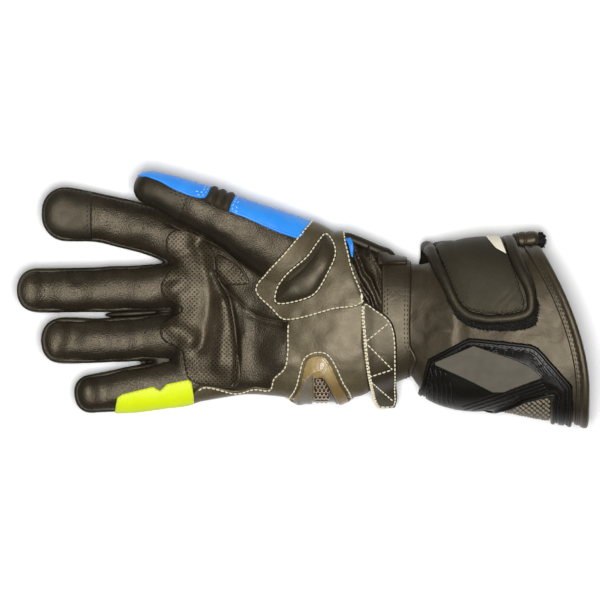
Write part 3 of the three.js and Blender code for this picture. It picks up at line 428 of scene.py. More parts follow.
def line_distance(points, line, closed=False):
    """Plan distance from points to a line."""
    ends = np.vstack([line, line[:1]]) if closed else np.asarray(line)
    nearest = np.full(len(points), np.inf)
    for a, b in zip(ends[:-1, :2], ends[1:, :2]):
        along = b - a
        t = np.clip(((points[:, :2] - a) @ along) / max(along @ along, 1e-12), 0, 1)
        away = points[:, :2] - a - t[:, None] * along
        nearest = np.minimum(nearest, np.einsum("ij,ij->i", away, away))
    return np.sqrt(nearest)


def inside_outline(points, line):
    """True for points whose plan place is inside a closed line."""
    found = np.zeros(len(points), bool)
    x, y = points[:, 0], points[:, 1]
    for (ax, ay), (bx, by) in zip(line[:, :2], np.roll(line[:, :2], -1, 0)):
        if ay == by:
            continue
        crosses = (ay > y) != (by > y)
        found ^= crosses & (x < (bx - ax) * (y - ay) / (by - ay) + ax)
    return found


def outline_field(points, outline, smooth=True, reach=6.0):
    """Plan distance in from an outline, negative outside it and no lower than the reach."""
    line = smooth_path(outline, closed=True, step=1.0) if smooth else np.asarray(outline, float)
    low, high = line.min(0) - reach, line.max(0) + reach
    field = np.full(len(points), -reach)
    near = ((points[:, :2] > low) & (points[:, :2] < high)).all(1)
    away = line_distance(points[near], line, closed=True)
    field[near] = np.where(inside_outline(points[near], line), away, -np.minimum(away, reach))
    return field


def crossed_edges(faces, above, total):
    """The edges of faces whose ends lie on two sides, as pairs of points and one key each."""
    pairs = np.sort(np.vstack([faces[:, [0, 1]], faces[:, [1, 2]], faces[:, [2, 0]]]), 1)
    pairs = pairs[above[pairs[:, 0]] != above[pairs[:, 1]]]
    keys = np.unique(pairs[:, 0] * total + pairs[:, 1])
    return keys // total, keys % total, keys


def split(values, faces, column, level, earlier=()):
    """Adds points where a column crosses a level, so that each face lies on one side of it. A point
    close to the level moves onto it, unless it lies on an earlier level, which keeps the faces even."""
    total = len(values)
    height = values[:, column] - level
    above = height > 0
    low, high, _ = crossed_edges(faces, above, total)
    share = height[low] / (height[low] - height[high])
    ends, others = np.concatenate([low, high]), np.concatenate([high, low])
    shares = np.concatenate([share, 1 - share])
    farthest_first = np.argsort(-shares, kind="stable")
    nearest, target = np.ones(total), np.arange(total)
    nearest[ends[farthest_first]] = shares[farthest_first]
    target[ends[farthest_first]] = others[farthest_first]
    near = (nearest < 0.35) & ~np.isin(values[:, column], earlier)
    moved = values.copy()
    moved[near] += (values[target[near]] - values[near]) * nearest[near, None]
    moved[near, column] = level
    height = moved[:, column] - level
    above = height > 0
    count = above[faces].sum(1)
    whole = faces[(count == 0) | (count == 3)]
    cut = faces[(count == 1) | (count == 2)]
    if not len(cut):
        return moved, faces
    low, high, keys = crossed_edges(cut, above, total)
    share = height[low] / (height[low] - height[high])
    on_low, on_high = height[low] == 0, height[high] == 0
    is_new = ~on_low & ~on_high
    at = np.where(on_low, low, high)
    at[is_new] = total + np.arange(is_new.sum())
    fresh = moved[low] + (moved[high] - moved[low]) * share[:, None]
    fresh[:, column] = level
    lone = above[cut] == (above[cut].sum(1) == 1)[:, None]
    order = (lone.argmax(1)[:, None] + np.arange(3)) % 3
    a, b, c = np.take_along_axis(cut, order, 1).T
    p = at[np.searchsorted(keys, np.minimum(a, b) * total + np.maximum(a, b))]
    q = at[np.searchsorted(keys, np.minimum(a, c) * total + np.maximum(a, c))]
    parts = np.vstack([np.stack([a, p, q], 1), np.stack([p, b, c], 1), np.stack([p, c, q], 1)])
    flat = (parts[:, 0] == parts[:, 1]) | (parts[:, 1] == parts[:, 2]) | (parts[:, 2] == parts[:, 0])
    return np.vstack([moved, fresh[is_new]]), np.vstack([whole, parts[~flat]])


def kept(values, faces, mask):
    """The faces that the mask keeps, and their points alone."""
    faces = faces[mask]
    used, where = np.unique(faces, return_inverse=True)
    return values[used], where.reshape(-1, 3)


def largest_part(values, faces):
    """The largest connected part of a surface."""
    label = np.arange(len(values))
    while True:
        low = label[faces].min(1)
        fresh = label.copy()
        for corner in range(3):
            np.minimum.at(fresh, faces[:, corner], low)
        fresh = fresh[fresh]
        if (fresh == label).all():
            break
        label = fresh
    names, counts = np.unique(label[faces[:, 0]], return_counts=True)
    return kept(values, faces, label[faces[:, 0]] == names[counts.argmax()])


def closed_shell(upper, lower, faces):
    """A closed body between two copies of one surface."""
    count = len(upper)
    edges = np.vstack([faces[:, [0, 1]], faces[:, [1, 2]], faces[:, [2, 0]]])
    keys = edges[:, 0] * count + edges[:, 1]
    back = edges[:, 1] * count + edges[:, 0]
    a, b = edges[~np.isin(keys, back)].T
    rim = np.vstack([np.stack([b, a, a + count], 1), np.stack([b, a + count, b + count], 1)])
    return np.vstack([upper, lower]), np.vstack([faces, faces[:, ::-1] + count, rim])


FIELD = 9  # the field's column beside a surface's points, normals and plain places


class Surface:
    """A surface to cut pieces from: points, outward normals, faces, and the plain place of each point
    from which fields are worked out."""

    def __init__(self, points, faces, plain=None, normals=None):
        self.points, self.faces = points, faces
        self.plain = points.copy() if plain is None else plain
        self.normals = normals_of(points, faces) if normals is None else normals

    def columns(self, field):
        return np.hstack([self.points, self.normals, self.plain, field[:, None]])

    def refined(self, field, levels):
        """The surface with rows of points along levels of a field, and the field there."""
        values, faces = self.columns(field), self.faces
        for n, level in enumerate(levels):
            values, faces = split(values, faces, FIELD, level, levels[:n])
        return Surface(values[:, :3], faces, values[:, 6:9], values[:, 3:6]), values[:, FIELD]

    def layer(self, field, levels=(), largest=True):
        """The part where a field is above 0, with rows of points along levels near its edge. It is
        the largest connected part, or all of them."""
        values, faces = kept(self.columns(field), self.faces, field[self.faces].max(1) > 0)
        levels = (0, *levels)
        for n, level in enumerate(levels):
            values, faces = split(values, faces, FIELD, level, levels[:n])
        values, faces = kept(values, faces, values[faces, FIELD].mean(1) > 0)
        return Layer(*(largest_part(values, faces) if largest else (values, faces)))


class Layer:
    """A patch of surface with its distance in from the edge, and how high its top and base lie."""

    def __init__(self, values, faces):
        self.points, self.faces = values[:, :3], faces
        self.normals = values[:, 3:6] / np.linalg.norm(values[:, 3:6], axis=1)[:, None]
        self.plain, self.inset = values[:, 6:9], values[:, FIELD]
        self.top = np.zeros(len(values))
        self.base = np.full(len(values), -0.3)

    def rolled(self, thickness, edge, base=0.0, sink=0.3):
        """Gives the layer a thickness whose edge rolls over, on a base."""
        share = np.clip(self.inset / edge, 0, 1)
        self.top = base + thickness * np.sqrt(1 - (1 - share) ** 2)
        self.base = np.full(len(self.points), base - sink)
        return self

    def top_points(self):
        return self.points + self.normals * self.top[:, None]

    def top_surface(self):
        """The layer's top, to lay other pieces on."""
        return Surface(self.top_points(), self.faces, self.plain, self.normals)

    def top_tree(self):
        return tree_of(self.top_points(), self.faces)

    def body(self):
        """The layer as a closed body."""
        upper = self.top_points()
        lower = self.points + self.normals * self.base[:, None]
        return closed_shell(upper, lower, self.faces)

    def lines(self, level, shortest=6.0, keep=None):
        """Lines on the layer's top where it lies that far in, as rows of places and normals."""
        found = contour(np.hstack([self.top_points(), self.normals]), self.faces, self.inset - level, shortest)
        return found if keep is None else parts_of(found, keep, shortest)


def parts_of(lines, keep, shortest=6.0):
    """The stretches of lines whose places pass a test."""
    found = []
    for line in lines:
        good = keep(line)
        if good.all():
            found.append(line)
            continue
        cuts = np.flatnonzero(np.diff(good.astype(int))) + 1
        for part, mask in zip(np.split(line, cuts), np.split(good, cuts)):
            if mask[0] and len(part) * 0.8 > shortest:
                found.append(part)
    return found


def contour(values, faces, field, shortest):
    """Lines along which a field is 0, as even rows of the values there."""
    field = np.where(field == 0, 1e-9, field)
    above = field > 0
    crossed = faces[(above[faces].sum(1) % 3) != 0]
    if not len(crossed):
        return []
    ends = crossed[:, [[0, 1], [1, 2], [2, 0]]]
    cuts = above[ends[..., 0]] != above[ends[..., 1]]
    total = len(values)
    keys = (ends.min(2) * total + ends.max(2))[cuts].reshape(-1, 2)
    names, which = np.unique(keys, return_inverse=True)
    low, high = names // total, names % total
    share = field[low] / (field[low] - field[high])
    rows = values[low] + (values[high] - values[low]) * share[:, None]
    links = [[] for _ in names]
    for a, b in which.reshape(-1, 2):
        links[a].append(b)
        links[b].append(a)
    seen = np.zeros(len(names), bool)
    chains = []
    starts = sorted(range(len(names)), key=lambda n: len(links[n]))
    for start in starts:
        if seen[start]:
            continue
        chain, at = [start], start
        seen[start] = True
        while True:
            onward = [n for n in links[at] if not seen[n]]
            if not onward:
                break
            at = onward[0]
            seen[at] = True
            chain.append(at)
        if len(chain) > 3 and chain[0] in links[chain[-1]]:
            chain.append(chain[0])
        chains.append(rows[chain])
    long_enough = [c for c in chains if np.linalg.norm(np.diff(c[:, :3], axis=0), axis=1).sum() > shortest]
    return [eased(even_points(c, 0.8)) for c in long_enough]


def eased(line, rounds=3):
    """A line with small kinks smoothed out."""
    line = line.copy()
    is_ring = np.linalg.norm(line[0, :3] - line[-1, :3]) < 1e-6
    for _ in range(rounds):
        line[1:-1] = (line[:-2] + 2 * line[1:-1] + line[2:]) / 4
        if is_ring:
            line[0] = line[-1] = (line[1] + line[-2] + 2 * line[0]) / 4
    return line


def stitch_run(lines, length=2.3, gap=0.7, radius=0.32, lift=0.12):
    """Rows of sewn stitches along lines of places and normals, each dipping into the leather at its ends."""
    ring = np.array([(math.cos(t), math.sin(t)) for t in np.arange(6) * math.pi / 3])
    stations = np.array([(-1, 0.25), (-0.72, 0.85), (0, 1), (0.72, 0.85), (1, 0.25)])
    parts = []
    for line in lines:
        run = np.concatenate([[0], np.cumsum(np.linalg.norm(np.diff(line[:, :3], axis=0), axis=1))])
        count = int(run[-1] / (length + gap))
        if count < 1:
            continue
        pitch = run[-1] / count
        for n in range(count):
            middle = (n + 0.5) * pitch
            reach = middle + stations[:, 0] * length / 2
            at = np.stack([np.interp(reach, run, column) for column in line.T], 1)
            along = at[-1, :3] - at[0, :3]
            along /= max(np.linalg.norm(along), 1e-9)
            up = at[:, 3:6] / np.linalg.norm(at[:, 3:6], axis=1)[:, None]
            out = np.cross(along, up)
            dip = lift - (stations[:, 0] ** 2) * radius * 1.1
            centre = at[:, :3] + up * dip[:, None]
            rings = [
                centre[k] + radius * stations[k, 1] * (ring[:, :1] * out[k] + ring[:, 1:] * up[k])
                for k in range(len(stations))
            ]
            parts.append(loft(rings))
    return joined(*parts)


def cord_along(line, radius, lift, sides=8, flat=1.0):
    """A round cord laid along a line of places and normals, with tapered ends. Its radius is one
    number, or one for each place."""
    radius = np.broadcast_to(radius, len(line))
    turns = np.arange(sides) * 2 * math.pi / sides
    up = line[:, 3:6] / np.linalg.norm(line[:, 3:6], axis=1)[:, None]
    along = np.gradient(line[:, :3], axis=0)
    along /= np.linalg.norm(along, axis=1)[:, None]
    out = np.cross(along, up)
    run = np.arange(len(line)) * 1.0
    taper = np.sqrt(np.clip(np.minimum(run + 0.3, run[::-1] + 0.3) / 2.5, 0.05, 1))
    rings = []
    for k in range(len(line)):
        circle = np.cos(turns)[:, None] * out[k] + flat * np.sin(turns)[:, None] * up[k]
        rings.append(line[k, :3] + up[k] * lift + radius[k] * taper[k] * circle)
    return loft(rings)


def dropped(path, surface_tree, keep_all=False):
    """A plan path dropped on a surface: rows of places and normals. It may keep a row for a miss."""
    rows = []
    for x, y in np.asarray(path)[:, :2]:
        place, normal, _, _ = surface_tree.ray_cast(Vector((x, y, 120)), Vector((0, 0, -1)))
        if place is not None:
            rows.append([*place, *normal])
        elif keep_all:
            rows.append([x, y, 0, 0, 0, 1])
    return np.array(rows)


def tree_of(points, faces):
    return BVHTree.FromPolygons(points.tolist(), faces.tolist())


def grid_faces(rows, columns):
    """Triangles between the points of a grid."""
    i, j = np.meshgrid(np.arange(rows - 1), np.arange(columns - 1), indexing="ij")
    a = (i * columns + j).ravel()
    b, c, d = a + 1, a + columns, a + columns + 1
    return np.vstack([np.stack([a, c, d], 1), np.stack([a, d, b], 1)])


def outward(points, faces):
    """A closed body with its faces turned out."""
    a, b, c = points[faces[:, 0]], points[faces[:, 1]], points[faces[:, 2]]
    volume = np.einsum("ij,ij->i", a, np.cross(b, c)).sum()
    return points, faces if volume > 0 else faces[:, ::-1]


def risen(surface, height):
    """Plain places moved to where the eye above sees them raised by a height."""
    return surface.plain + surface.normals * [height, height, 0]


def seen_from_above(surface, height):
    """The surface with its plain places as the eye above sees them raised by a height."""
    return Surface(surface.points, surface.faces, risen(surface, height), surface.normals)


def upward(surface):
    """An open surface with its faces turned up."""
    if surface.normals[:, 2].sum() > 0:
        return surface
    return Surface(surface.points, surface.faces[:, ::-1], surface.plain)


def tube_carrier(x_from, x_to, turn_from, turn_to, step):
    """A fine grid over part of the palm and cuff tube. Its plain places are unrolled past the sides."""
    turns = np.radians(np.linspace(turn_from, turn_to, 721))
    xs = np.linspace(x_from, x_to, int(round((x_to - x_from) / step)) + 1)
    rows = []
    for x in xs:
        ring = body_ring(x, turns)
        run = np.concatenate([[0], np.cumsum(np.linalg.norm(np.diff(ring, axis=0), axis=1))])
        unrolled = ring[:, 1].copy()
        for side, sign in ((0.0, 1), (math.pi, -1)):
            if turns[0] < side < turns[-1]:
                at_side = np.interp(side, turns, run)
                beyond = (at_side - run) * sign
                edge = np.interp(side, turns, ring[:, 1])
                unrolled = np.where(beyond > 0, edge + sign * beyond, unrolled)
        rows.append(np.column_stack([ring, ring[:, 0], unrolled, ring[:, 2], run]))
    count = int(np.mean([row[-1, 6] for row in rows]) / step) + 1
    even = []
    for row in rows:
        at = np.linspace(0, row[-1, 6], count)
        even.append(np.stack([np.interp(at, row[:, 6], column) for column in row[:, :6].T], 1))
    values = np.vstack(even)
    faces = grid_faces(len(xs), count)
    surface = Surface(values[:, :3], faces, values[:, 3:6])
    middle = np.column_stack([values[:, 0], body_at(values[:, 0])["centre"], np.full(len(values), 20.0)])
    if ((values[:, :3] - middle) * surface.normals).sum() < 0:
        surface = Surface(values[:, :3], faces[:, ::-1], values[:, 3:6])
    return surface


# Materials


def colour(text):
    """A linear colour from an sRGB hex value."""
    parts = [int(text[i:i + 2], 16) / 255 for i in (1, 3, 5)]
    linear = [c / 12.92 if c <= 0.04045 else ((c + 0.055) / 1.055) ** 2.4 for c in parts]
    return (*linear, 1.0)


def per_metre(size_mm):
    """A pattern's scale from its real size."""
    return 1 / (size_mm * MM)


class Finish:
    """A new material, with its tree, its shader and the object's own coordinates."""

    def __init__(self, name):
        self.material = bpy.data.materials.new(name)
        self.material.use_nodes = True
        self.tree = self.material.node_tree
        self.shader = self.tree.nodes["Principled BSDF"]
        self.place = self.add("TexCoord", {}).outputs["Object"]

    def add(self, kind, settings, links=None):
        """Adds a node with its settings, and links its inputs to other nodes' outputs."""
        node = self.tree.nodes.new("ShaderNode" + kind)
        for name, value in settings.items():
            if isinstance(name, int) or name in node.inputs:
                node.inputs[name].default_value = value
            else:
                setattr(node, name, value)
        for name, source in (links or {}).items():
            self.tree.links.new(source, node.inputs[name])
        return node

    def set(self, **values):
        """Sets the shader's own sockets, named with _ for a space."""
        for name, value in values.items():
            self.shader.inputs[name.replace("_", " ")].default_value = value
        return self

    def link(self, **sources):
        for name, source in sources.items():
            self.tree.links.new(source, self.shader.inputs[name.replace("_", " ")])
        return self

    def noise(self, size_mm, detail=3.0, distortion=0.0):
        scale = {"Scale": per_metre(size_mm), "Detail": detail, "Distortion": distortion}
        return self.add("TexNoise", scale, {"Vector": self.place}).outputs["Fac"]

    def ranged(self, value, low, high, to_low=0.0, to_high=1.0):
        """A value stretched from one range to another."""
        limits = {"From Min": low, "From Max": high, "To Min": to_low, "To Max": to_high}
        return self.add("MapRange", limits, {"Value": value}).outputs["Result"]

    def blend(self, share, one, other, how="MIX"):
        """Two colours mixed by a share. Each is a hex value or another node's output."""
        settings, links = {"data_type": "RGBA", "blend_type": how}, {}
        for socket, source in ((0, share), (6, one), (7, other)):
            if isinstance(source, str):
                settings[socket] = colour(source)
            elif isinstance(source, (int, float)):
                settings[socket] = source
            else:
                links[socket] = source
        return self.add("Mix", settings, links).outputs[2]

    def bumped(self, height, height_mm, below=None, invert=False):
        """A relief of that height, over another relief."""
        links = {"Height": height}
        if below is not None:
            links["Normal"] = below
        settings = {"Strength": 1.0, "Distance": height_mm * MM, "invert": invert}
        return self.add("Bump", settings, links).outputs["Normal"]


WARM_LIGHT_TINT = "#f6e6c8"  # a warm tint painted into the leathers' highlights, standing in for warm lamp light
# The worn valley across the palm, where the punched holes have closed up: its half sizes and middle
VALLEY_SCALE = (per_metre(7), per_metre(24), 0)
VALLEY_PLACE = (56 / 7, 7.5 / 24, 0)


def leather(name, deep, raised, grain_mm, grain_height_mm, roughness, crease=0.35, holes=None, pores=0.65):
    """Dyed leather: pebbled grain, pores, broad wrinkles and uneven tone. Holes is the pitch of a square
    pattern of punched holes, set at 45 degrees, each painted near black as painted shade inside the hole.
    Pores is how dark the grain's valleys are."""
    made = Finish(name)
    pebble = made.add(
        "TexVoronoi", {"Scale": per_metre(grain_mm), "feature": "SMOOTH_F1", "Smoothness": 0.35},
        {"Vector": made.place},
    ).outputs["Distance"]
    wrinkle = made.noise(8, 3.0, 0.5)
    tone = made.blend(made.ranged(made.noise(22, 4.0), 0.35, 0.68), deep, raised)
    tone = made.blend(1.0, tone, made.ranged(pebble, 0.25, 0.65, 1.0, pores), "MULTIPLY")
    relief = made.bumped(pebble, grain_height_mm, invert=True)
    relief = made.bumped(made.noise(grain_mm * 0.6), grain_height_mm * 0.8, relief)
    relief = made.bumped(wrinkle, crease, relief)
    if holes:
        pitch = {"Rotation": (0, 0, math.radians(45)), "Scale": (per_metre(holes), per_metre(holes), 0)}
        turned = made.add("Mapping", pitch, {"Vector": made.place})
        cell = made.add("VectorMath", {"operation": "FRACTION"}, {0: turned.outputs[0]})
        centred = made.add("VectorMath", {"operation": "SUBTRACT", 1: (0.5, 0.5, 0)}, {0: cell.outputs[0]})
        away = made.add("VectorMath", {"operation": "LENGTH"}, {0: centred.outputs[0]}).outputs["Value"]
        rim = made.ranged(away, 0.15, 0.27)
        valley = {"Location": VALLEY_PLACE, "Scale": VALLEY_SCALE}
        valley = made.add("Mapping", valley, {"Vector": made.place})
        clear = made.add("VectorMath", {"operation": "LENGTH"}, {0: valley.outputs[0]}).outputs["Value"]
        rim = made.blend(made.ranged(clear, 0.7, 1.2), "#ffffff", rim)
        # The holes are not cut: each is painted near black, painted shade for its depth.
        tone = made.blend(rim, "#060504", tone)
        relief = made.bumped(rim, 0.3, relief)
    made.link(Base_Color=tone, Normal=relief)
    made.link(Roughness=made.ranged(wrinkle, 0, 1, roughness - 0.07, roughness + 0.09))
    # The highlights take a painted warm tint in place of warm lamp light.
    return made.set(Specular_Tint=colour(WARM_LIGHT_TINT), Specular_IOR_Level=0.43).material


def thread(name, dark, light):
    """Twisted bonded thread: a soft sheen and a slight change of tone from stitch to stitch."""
    made = Finish(name)
    twist = {"Scale": per_metre(0.9), "Distortion": 2.0}
    twist = made.add("TexWave", twist, {"Vector": made.place}).outputs["Fac"]
    made.link(Base_Color=made.blend(made.noise(3, 2.0), dark, light), Normal=made.bumped(twist, 0.08))
    return made.set(Roughness=0.6).material


def moulded(name, deep, raised, roughness, coat=0.0, shine=0.5, speck_mm=0.8, speck_height_mm=0.02):
    """Injection-moulded plastic or rubber: an even tone, faint orange peel and a clear gloss."""
    made = Finish(name)
    speck = made.noise(speck_mm, 3.0)
    made.link(Base_Color=made.blend(made.ranged(made.noise(9, 4.0), 0.3, 0.7), deep, raised))
    made.link(Normal=made.bumped(speck, speck_height_mm))
    made.link(Roughness=made.ranged(made.noise(5, 4.0), 0.2, 0.8, roughness - 0.05, roughness + 0.08))
    return made.set(Coat_Weight=coat, Coat_Roughness=0.12, Specular_IOR_Level=shine).material


# Full-grain goatskin, drum-dyed black: fine raised pebbles that catch the light one by one
goatskin = leather("black_goatskin_grained", "#1c1710", "#292218", 0.8, 0.11, 0.38, crease=0.16)
# The same skin punched with holes over the grip. The real holes are about this size
punched = leather("black_goatskin_perforated", "#2a2216", "#3a3123", 0.8, 0.08, 0.38, crease=0.14, holes=1.9)
# Smooth cowhide, finished black and rubbed: broad soft highlights over shallow wrinkles
cowhide = leather("black_cowhide_smooth", "#282218", "#393225", 0.6, 0.03, 0.41, crease=0.26)
# The same hide painted paler where the hand rests, on the heel and thumb patches: a painted sheen, a lit copy
# of the cowhide
sheen_painted_hide = leather("black_cowhide_painted_sheen", "#463e2d", "#5d5440", 0.6, 0.03, 0.38, crease=0.24)
# Cowhide on the back and between the fingers: a cooler black and duller
back_hide = leather("black_cowhide_matt", "#1a1711", "#262219", 0.8, 0.06, 0.48, crease=0.2)
# Corrected-grain leather over the closing tab: flat and olive, with a very fine grain
tab_hide = leather("olive_black_leather_corrected", "#232118", "#2b281f", 0.5, 0.03, 0.6, crease=0.15)
# Cowhide with an opaque bright finish coat, which fills most of the grain
blue_hide = leather("blue_cowhide_finished", "#2485e6", "#3596f0", 0.7, 0.03, 0.42, crease=0.2, pores=0.93)
yellow_hide = leather(
    "yellow_cowhide_finished", "#c9da00", "#d3e500", 0.7, 0.03, 0.5, crease=0.25, pores=0.95,
)
# Elastic ribbed fabric: matt, with fine knitted rows
stretch = leather("black_ribbed_elastic", "#262119", "#353026", 0.5, 0.12, 0.7, crease=0.1)
# Knitted polyester lining: dull and dark
lining_cloth = leather("charcoal_knitted_lining", "#1b1916", "#2a2722", 0.9, 0.2, 0.85, crease=0.2)
cream_thread = thread("cream_bonded_polyester_thread", "#d2c69f", "#f6efd6")
black_thread = thread("black_bonded_polyester_thread", "#0b0906", "#17140f")
pale_thread = thread("pale_bonded_polyester_thread", "#b9d4e6", "#e8f1f5")
straw_thread = thread("straw_bonded_polyester_thread", "#c9c06a", "#e6dea0")
# Glossy moulded thermoplastic: near black with sharp highlights along its edges
armour_gloss = moulded("black_thermoplastic_gloss", "#0d0b07", "#120f0a", 0.36, shine=0.2)
# The same plastic with a fine matt texture from the mould
armour_matt = moulded(
    "grey_thermoplastic_matt", "#413b2d", "#4b4435", 0.6, speck_mm=0.5, speck_height_mm=0.04,
)
hook_pile = moulded("black_hook_and_loop_pile", "#070605", "#1a1713", 0.9, speck_mm=0.5, speck_height_mm=0.5)
mesh_cloth = moulded("grey_diamond_textile", "#6f6655", "#857b68", 0.75, speck_mm=0.4, speck_height_mm=0.1)
# Smoked clear resin over the slider's window
smoked_resin = moulded("smoked_urethane_window", "#2c2212", "#3a2d18", 0.3, coat=0.3)
honeycomb_gold = moulded("amber_honeycomb_core", "#553d16", "#7a5c29", 0.45)
# The same urethane over a grey backing
grey_resin = moulded("smoky_grey_urethane", "#5f594c", "#6b6456", 0.4, coat=0.2)
label_cloth = thread("cream_woven_tape", "#e4dcc3", "#f8f2de")


def slider_material():
    """Cast urethane over leather: smoky amber, smooth and wet, painted darker where it runs down the tube's
    side, as painted shade.
    """
    made = Finish("smoky_amber_urethane")
    place = made.add("SeparateXYZ", {}, {0: made.place})
    amber_and_side_shade = made.blend(made.ranged(made.noise(6, 3.0), 0.35, 0.65), "#877347", "#9c8452")
    # Painted shade: darker past Y of -40 mm, where the slider turns down the tube's side away from the light.
    amber_and_side_shade = made.blend(made.ranged(place.outputs["Y"], -0.05, -0.04), "#6f5a33", amber_and_side_shade)
    made.link(Base_Color=amber_and_side_shade, Normal=made.bumped(made.noise(2.5, 2.0), 0.03))
    return made.set(Roughness=0.38, IOR=1.49, Coat_Weight=0.2, Coat_Roughness=0.15).material


amber = slider_material()


def piece(name, points, faces, material, slot, nodes=(), sharp=None, share=1.0):
    """A finished piece of the glove in metres, riding on the part's one body. A share below 1 keeps
    only that share of its triangles, with the flat stretches thinned first."""
    placed = points + FRAME_SHIFT
    placed[:, 2] = np.maximum(placed[:, 2], 0.05)
    mesh = bpy.data.meshes.new(name)
    mesh.from_pydata((placed * MM).tolist(), [], faces.tolist())
    mesh.shade_smooth()
    if sharp is not None:
        mesh.set_sharp_from_angle(angle=math.radians(sharp))
    mesh.materials.append(material)
    made = bpy.data.objects.new(name, mesh)
    bpy.context.scene.collection.objects.link(made)
    if share < 1:
        made.modifiers.new("thinned", "DECIMATE").ratio = share
    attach(made, "root")
    if nodes:
        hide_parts(*nodes)
    return made


# The leather skin


def skin_surface():
    """Palm, cuff and five digits as one smooth closed surface."""
    turns = np.arange(96) * 2 * math.pi / 96
    web_end = [
        body_ring(WEBS_X, turns, size=size, at_x=WEBS_X - 5.5 * before)
        for before, size in ((1, 0.62), (0.75, 0.82), (0.35, 0.95))
    ]
    along = [body_ring(x, turns) for x in np.arange(WEBS_X, MOUTH_X + 0.1, 2.0)]
    beyond = body_ring(MOUTH_X, turns, at_x=MOUTH_X + MOUTH_SLANT)
    parts = [loft([*web_end, *along, beyond])]
    finger_turns = np.arange(64) * 2 * math.pi / 64
    for name, row in DIGITS.items():
        tip = digit_at(name, 0)["half_width"][0]
        end = row[0] if name == "thumb" else row[0] + ROOT_OVERLAP
        rounding = tip * np.array([0.01, 0.04, 0.1, 0.2, 0.34, 0.5, 0.7, 0.88])
        stations = [*rounding, *np.arange(tip, end, 2.0)]
        parts.append(loft([digit_ring(name, d, finger_turns) for d in stations]))
    return melted(*joined(*parts), SKIN_VOXEL, SKIN_ROUNDS)


def seam_height(x):
    """Height of the palm panels' seam along the glove."""
    body = body_at(np.clip(x, WEBS_X, WRIST_X))
    beyond = np.maximum(0, WEBS_X - x) / CURL_REACH
    return (body["top"] + body["bottom"]) / 2 + FINGER_CURL * beyond**2 + SEAM_RISE


def bell(distance, width):
    return np.exp(-((distance / width) ** 2))


# Dents across the digits: distance from the tip, depth, half length along, lean across
DENTS = {
    "index": [(16, 1.0, 7, 0.2), (44, 0.8, 7, 0.3), (68, 0.5, 6, 0)],
    "middle": [(17, 1.7, 7, 0), (46, 0.7, 7, 0.1), (63, 0.8, 6, 0)],
    "ring": [(18, 2.0, 7.5, 0.15), (44, 0.6, 6, 0), (57, 0.8, 6, -0.1)],
    "little": [(17, 1.2, 7, 0.1), (36, 0.8, 6, 0)],
    "thumb": [(30, 0.5, 4, 0), (62, 0.6, 6, 0.1)],
}
# Palm lines: path, half width, depth. A depth below 0 is a swelling
PALM_LINES = [
    ([(-51.5, 17), (-47.5, 10.5), (-42.5, -0.5), (-39.5, -17.5), (-38.5, -34.5), (-40.5, -48)], 1.6, 1.7),
    ([(-62, 34), (-57, 20), (-55, 2), (-57, -14), (-60, -26)], 4.5, 1.7),
    ([(-48, 12), (-36, -3), (-24, -10), (-12, -13)], 2.5, 1.0),
    ([(-30, -14), (-26, -34), (-22, -44)], 9, 1.0),
    ([(-76, 18), (-71, 13), (-75, 7)], 5.5, -1.8),
    ([(-76, -14), (-71, -18), (-66, -22)], 5.5, -1.8),
    ([(-47, 0), (-46, -20), (-48, -38)], 4, -1.0),
    ([(-34, -4), (-33, -18)], 3, -0.7),
]
GATHER_REGION = [(26, 44), (46, 46), (47, 20), (46, -6), (36, -4), (31, 10), (27, 26)]
# Plan regions where the leather lies flat under another piece
FLAT_REGIONS = [
    [(44, 52), (66, 52), (67, -60), (34, -70), (34, -2), (44, -2)],
    [(70, 60), (140, 60), (140, -14), (84, -14), (70, 20)],
    [(68, -90), (68, -30), (96, -18), (138, -24), (160, -50), (160, -90)],
]


def sculpted(surface):
    """The skin with finger dents, palm lines, wrist gathers and the soft unevenness of worn leather."""
    points, normals = surface.points, surface.normals
    lift = 0.6 * soft_noise(points, 16, 3) + 0.35 * soft_noise(points, 7, 5)
    lift += 0.5 * soft_noise(points * [0.5, 1, 1], 12, 21) * np.clip((points[:, 0] - 60) / 10, 0, 1)
    lift *= np.clip(0.2 + np.abs(normals[:, 2]), 0, 1)
    palm_up = np.clip(normals[:, 2] * 1.6, 0, 1)
    for name, dents in DENTS.items():
        from_tip, across, height = place_on_digit(points, name)
        half = DIGITS[name][1] / 2
        near = (np.abs(across) < half * 1.3) & (np.abs(height) < 22) & (from_tip < DIGITS[name][0])
        for at, depth, width, lean in dents:
            lift -= near * palm_up * depth * bell(from_tip - at - lean * across, width)
    for path, width, depth in PALM_LINES:
        lift -= palm_up * depth * bell(line_distance(points, smooth_path(path)), width)
    ruched = np.clip(outline_field(points, GATHER_REGION) / 4, 0, 1) * (normals[:, 2] > -0.2)
    wave = 0.894 * points[:, 0] + 0.447 * points[:, 1] + 3.0 * soft_noise(points, 9, 11)
    ridge = 1 - np.abs(np.sin(wave * math.pi / 6.0))
    lift += ruched * (3.4 * ridge**1.5 - 1.6)
    covered = np.max([outline_field(points, region) for region in FLAT_REGIONS], axis=0)
    flat = np.clip((covered + 4) / 4, 0, 1)
    lift = lift * (1 - flat) + np.minimum(lift, 0.1) * flat
    lift = np.where(points[:, 2] < 1.2, np.minimum(lift, 0), lift)
    moved = points + normals * lift[:, None]
    moved[:, 2] = np.maximum(moved[:, 2], 0.15)
    return Surface(moved, surface.faces, points)


skin = sculpted(Surface(*skin_surface()))
CUFF_CUT_X = WEBS_X + 0.93 * PALM_LENGTH
CUFF_SEAM_Z = 22.5


